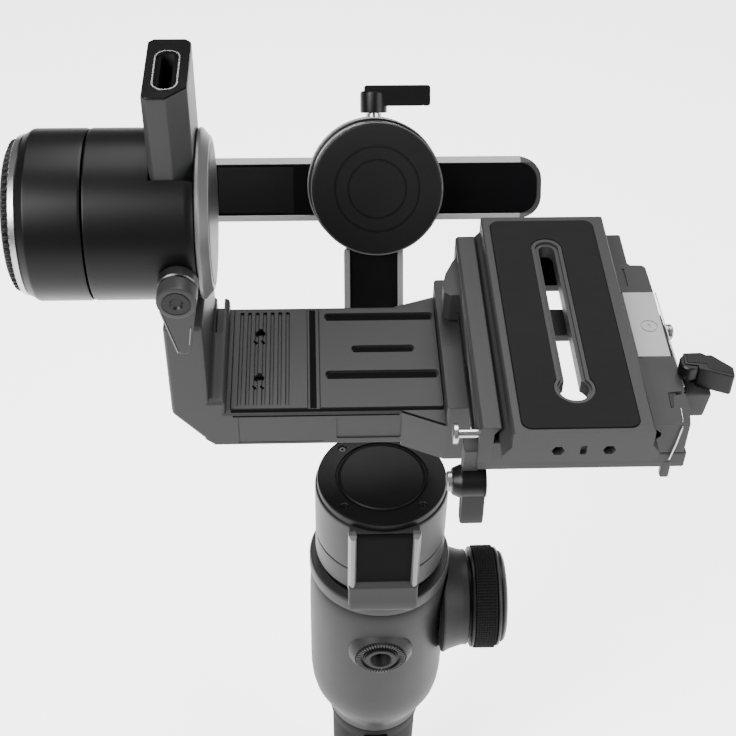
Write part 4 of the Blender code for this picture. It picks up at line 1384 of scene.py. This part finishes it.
class STABILIZER_OT_camera_plate(bpy.types.Operator):
    """Sliding dovetail plate and its rubber pad"""

    bl_idname = "stabilizer.camera_plate"
    bl_label = "Camera plate"

    def execute(self, context):
        plate = prism(
            [(40.8, -37.5), (90.5, -37.5), (91, -38.0), (91, -45),
             (94, -49), (94, -51), (92.5, -52.8), (38.8, -52.8),
             (37.3, -51), (37.3, -49), (40.3, -45), (40.3, -38.0)],
            "Y", -79, 44)
        slot = rounded((61.8, 68.2), (-61.9, 25.7), 3.19, 10)
        lip = rounded((58.9, 71.1), (-65.0, 28.9), 6.0, 12)
        plate = cut(
            plate,
            block((52, 78), (-74, 39), (-54, -44)),
            prism(slot, "Z", -60, -30),
            prism(lip, "Z", -38.9, -30),
            rod(5.6, -60, -30, "Z", KEYHOLE, 40),
            rod(7.6, -38.9, -30, "Z", KEYHOLE, 48),
            prism(rounded((43.3, 86.3), (-77.3, 41.3), 4.0), "Z", -38.5,
                  -30),
            prism(hexagon(57, -47, 2.4), "Y", -80, -74),
            prism(hexagon(75.5, -47, 2.4), "Y", -80, -74),
            prism(rounded((65, 67.3), (-49, -44.5), 0.5), "Y", -80, -77.5),
        )
        make_piece("camera_plate", plate, "arm_grey", "camera_plate",
                   ["camera_plate"], TILT)
        rim = cut(
            fused(prism(lip, "Z", -38.88, -37.3),
                  rod(7.5, -38.88, -37.3, "Z", KEYHOLE, 48)),
            prism(rounded((60.3, 69.7), (-63.4, 27.3), 4.6, 12), "Z", -38.3,
                  -30),
            prism(slot, "Z", -60, -30),
            rod(5.6, -60, -30, "Z", KEYHOLE, 40),
            rod(6.4, -38.3, -30, "Z", KEYHOLE, 48),
        )
        make_piece("slot_lip", rim, "arm_grey", "camera_plate", [],
                   TILT)
        pad = prism(rounded((43.6, 86), (-77, 41), 3.7), "Z", -38.2, -36.9,
                    0.35, 2, 60)
        pad = cut(
            pad, prism(rounded((58.7, 71.3), (-65.2, 29.1), 6.2, 12), "Z",
                       -40, -30),
            rod(7.8, -40, -30, "Z", KEYHOLE, 48),
        )
        make_piece("plate_pad", pad, "rubber", "camera_plate",
                   ["plate_pad"], TILT)
        return {"FINISHED"}


class STABILIZER_OT_fittings(bpy.types.Operator):
    """Plate lever, safety pin and thumb lever"""

    bl_idname = "stabilizer.fittings"
    bl_label = "Fittings"

    def execute(self, context):
        stem = prism(
            [(109.0, -48.2), (119.0, -48.2), (117.6, -60), (109.0, -60)],
            "Y", -50.5, -35.5, 0.8, 2)
        post = turned([(0, -50), (2.2, -50), (2.2, -40.3), (1.9, -40),
                       (0, -40)], "Z", PLATE_LEVER, 32)
        make_piece("lever_stem", fused(stem, post), "arm_grey", "arm",
                   ["lever_post"], TILT)
        blade = prism(
            [(112.8, -39.4), (119.2, -39.6), (126.0, -46.6),
             (125.6, -51.2), (124.6, -51.6), (115.8, -48.0),
             (113.0, -46.8)], "Z", -47.6, -38.0, 0.6, 3)
        root = prism(
            [(108.6, -38.4), (115.4, -38.2), (117.2, -39.6),
             (118.4, -42.0), (117.0, -45.0), (114.2, -45.4),
             (108.2, -44.2)], "Z", -44.3, -38.05, 0.5, 2)
        blade = fused(blade, root)
        hub = turned([(0, -44.5), (4.0, -44.5), (4.3, -44.2), (4.3, -39.1),
                      (3.8, -38.6), (0, -38.6)], "Z", PLATE_LEVER, 48)
        lever = cut(fused(blade, hub),
                    rod(2.5, -48, -39.7, "Z", PLATE_LEVER))
        make_piece("plate_lever", lever, "lever_black", "plate_lever",
                   ["plate_lever"], TILT)
        top = prism(
            [(109.6, -39.2), (115.0, -39.0), (116.8, -40.4),
             (118.8, -40.4), (124.9, -46.8), (124.7, -50.3),
             (116.6, -47.2), (116.4, -44.6), (109.2, -43.6)], "Z", -38.1,
            -37.8, 0.12, 1)
        make_piece("plate_lever_face", top, "cap_black", "plate_lever", [],
                   TILT)
        pin = turned(
            [(0, 20.6), (3.5, 20.6), (3.9, 21.0), (3.9, 22.3),
             (3.6, 22.6), (1.75, 22.6), (1.75, 32.0), (0, 32.0)], "X",
            SAFETY_PIN, 40)
        make_piece("safety_pin", pin, "bright", "safety_pin",
                   ["safety_pin"], TILT)
        barrel = turned(
            [(0, 21.4), (4.6, 21.4), (5.2, 21.8), (6.4, 24.6),
             (6.5, 25.2), (6.5, 33.0), (6.2, 33.3), (6.2, 33.5),
             (6.5, 33.7), (6.2, 34.2), (0, 34.2)], "X",
            THUMB_LEVER, 64)
        tail = prism(
            [(-73.2, -77), (-67.5, -77), (-68.0, -87), (-70.0, -92.5),
             (-74.4, -92.5), (-74.4, -87)], "X", 24.8, 33.8)
        soften(tail, 0.8, 2)
        make_piece("thumb_lever", fused(barrel, tail), "lever_black",
                   "thumb_lever", ["thumb_lever"], TILT)
        hub = turned([(0, 19.6), (3.4, 19.6), (3.9, 20.0), (3.9, 21.4),
                      (0, 21.4)], "X", THUMB_LEVER, 48)
        make_piece("thumb_lever_hub", hub, "edge_bright", "thumb_lever",
                   [], TILT)
        return {"FINISHED"}


INNER_FINISHES = {
    "battery_tube": "arm_grey",
    "battery_cells": "cell",
    "control_board": "board",
    "wheel_shaft": "bright",
    "pan_stator": "copper",
    "pan_shaft": "bright",
    "pan_bearing": "bright",
    "roll_stator": "copper",
    "roll_bearing": "bright",
    "roll_shaft": "bright",
    "roll_lock_bolt": "bright",
    "tilt_stator": "copper",
    "tilt_bearing": "bright",
    "tilt_shaft": "bright",
}


class STABILIZER_OT_inner_parts(bpy.types.Operator):
    """Finishes on the motor windings, shafts, bearings and cells"""

    bl_idname = "stabilizer.inner_parts"
    bl_label = "Inner parts"

    def execute(self, context):
        for node, look in INNER_FINISHES.items():
            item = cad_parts[node]
            for place in item.material_slots:
                place.material = finish(look)
        return {"FINISHED"}


# ------------------------------------------------------------------ studio

def area_light(name, place, aim, power, size):
    """A large square light pointed at a spot."""
    lamp = bpy.data.lights.new(name, "AREA")
    lamp.energy = power
    lamp.shape = "SQUARE"
    lamp.size = size
    item = bpy.data.objects.new(name, lamp)
    item.location = place
    look = Vector(aim) - Vector(place)
    item.rotation_euler = look.to_track_quat("-Z", "Y").to_euler()
    bpy.context.scene.collection.objects.link(item)
    return item


class STABILIZER_OT_studio(bpy.types.Operator):
    """Pale floor, soft lights and the camera"""

    bl_idname = "stabilizer.studio"
    bl_label = "Studio"

    def execute(self, context):
        scene = context.scene
        s = scene.stabilizer
        bm = bmesh.new()
        bmesh.ops.create_grid(bm, x_segments=2, y_segments=2, size=3.0)
        bmesh.ops.translate(bm, vec=(0, 0, -0.001), verts=bm.verts)
        mesh = bpy.data.meshes.new("studio_floor")
        bm.to_mesh(mesh)
        bm.free()
        pale = finish_material(
            "pale floor", tuple(s.floor), 0.9, grain=30.0, bump=0.0,
            marks=0.01, specular=0.0,
        )
        shader = pale.node_tree.nodes["Principled BSDF"]
        shader.inputs["Emission Color"].default_value = (1.0, 1.0, 1.0, 1.0)
        shader.inputs["Emission Strength"].default_value = s.glow
        mesh.materials.append(pale)
        floor = bpy.data.objects.new("studio_floor", mesh)
        scene.collection.objects.link(floor)

        world = bpy.data.worlds.new("studio")
        world.use_nodes = True
        sky = world.node_tree.nodes["Background"]
        sky.inputs["Color"].default_value = (1.0, 1.0, 1.0, 1.0)
        sky.inputs["Strength"].default_value = s.sky
        scene.world = world

        aim = (0.0, 0.0, 0.33)
        area_light("key", (-0.75, -0.65, 1.25), aim, s.key, 0.8)
        area_light("fill", (1.0, -0.6, 0.8), aim, s.key * 0.45, 0.9)
        area_light("top", (0.1, 0.5, 1.5), aim, s.key * 0.6, 0.9)

        lens = bpy.data.cameras.new("camera")
        lens.lens = 68.47826
        lens.sensor_width = 36.0
        lens.sensor_fit = "HORIZONTAL"
        lens.clip_start = 0.01
        eye = bpy.data.objects.new("camera", lens)
        eye.location = (-0.029862942, -0.414942623, 0.758439958)
        eye.rotation_euler = [
            math.radians(v) for v in (45.992048663, -0.971065390,
                                      -2.162121568)
        ]
        scene.collection.objects.link(eye)
        scene.camera = eye
        return {"FINISHED"}


# --------------------------------------------------------------- interface

OPERATORS = (
    STABILIZER_OT_handle,
    STABILIZER_OT_front_thread,
    STABILIZER_OT_controls,
    STABILIZER_OT_focus_wheel,
    STABILIZER_OT_pan_motor,
    STABILIZER_OT_pan_arm,
    STABILIZER_OT_roll_motor,
    STABILIZER_OT_roll_stage,
    STABILIZER_OT_tilt_motor,
    STABILIZER_OT_cross_arm,
    STABILIZER_OT_base,
    STABILIZER_OT_camera_plate,
    STABILIZER_OT_fittings,
    STABILIZER_OT_inner_parts,
    STABILIZER_OT_studio,
)


class STABILIZER_PT_panel(bpy.types.Panel):
    """Settings and one button for each group of pieces"""

    bl_idname = "STABILIZER_PT_panel"
    bl_label = "Camera Stabilizer"
    bl_space_type = "VIEW_3D"
    bl_region_type = "UI"
    bl_category = "Stabilizer"

    def draw(self, context):
        settings = context.scene.stabilizer
        for name in StabilizerSettings.__annotations__:
            self.layout.prop(settings, name)
        for operator in OPERATORS:
            self.layout.operator(operator.bl_idname)


CLASSES = (StabilizerSettings, *OPERATORS, STABILIZER_PT_panel)


def register():
    for cls in CLASSES:
        bpy.utils.register_class(cls)
    bpy.types.Scene.stabilizer = PointerProperty(type=StabilizerSettings)


def unregister():
    del bpy.types.Scene.stabilizer
    for cls in reversed(CLASSES):
        bpy.utils.unregister_class(cls)


def main():
    register()
    for operator in OPERATORS:
        group, name = operator.bl_idname.split(".")
        getattr(getattr(bpy.ops, group), name)()


if __name__ == "__main__":
    main()
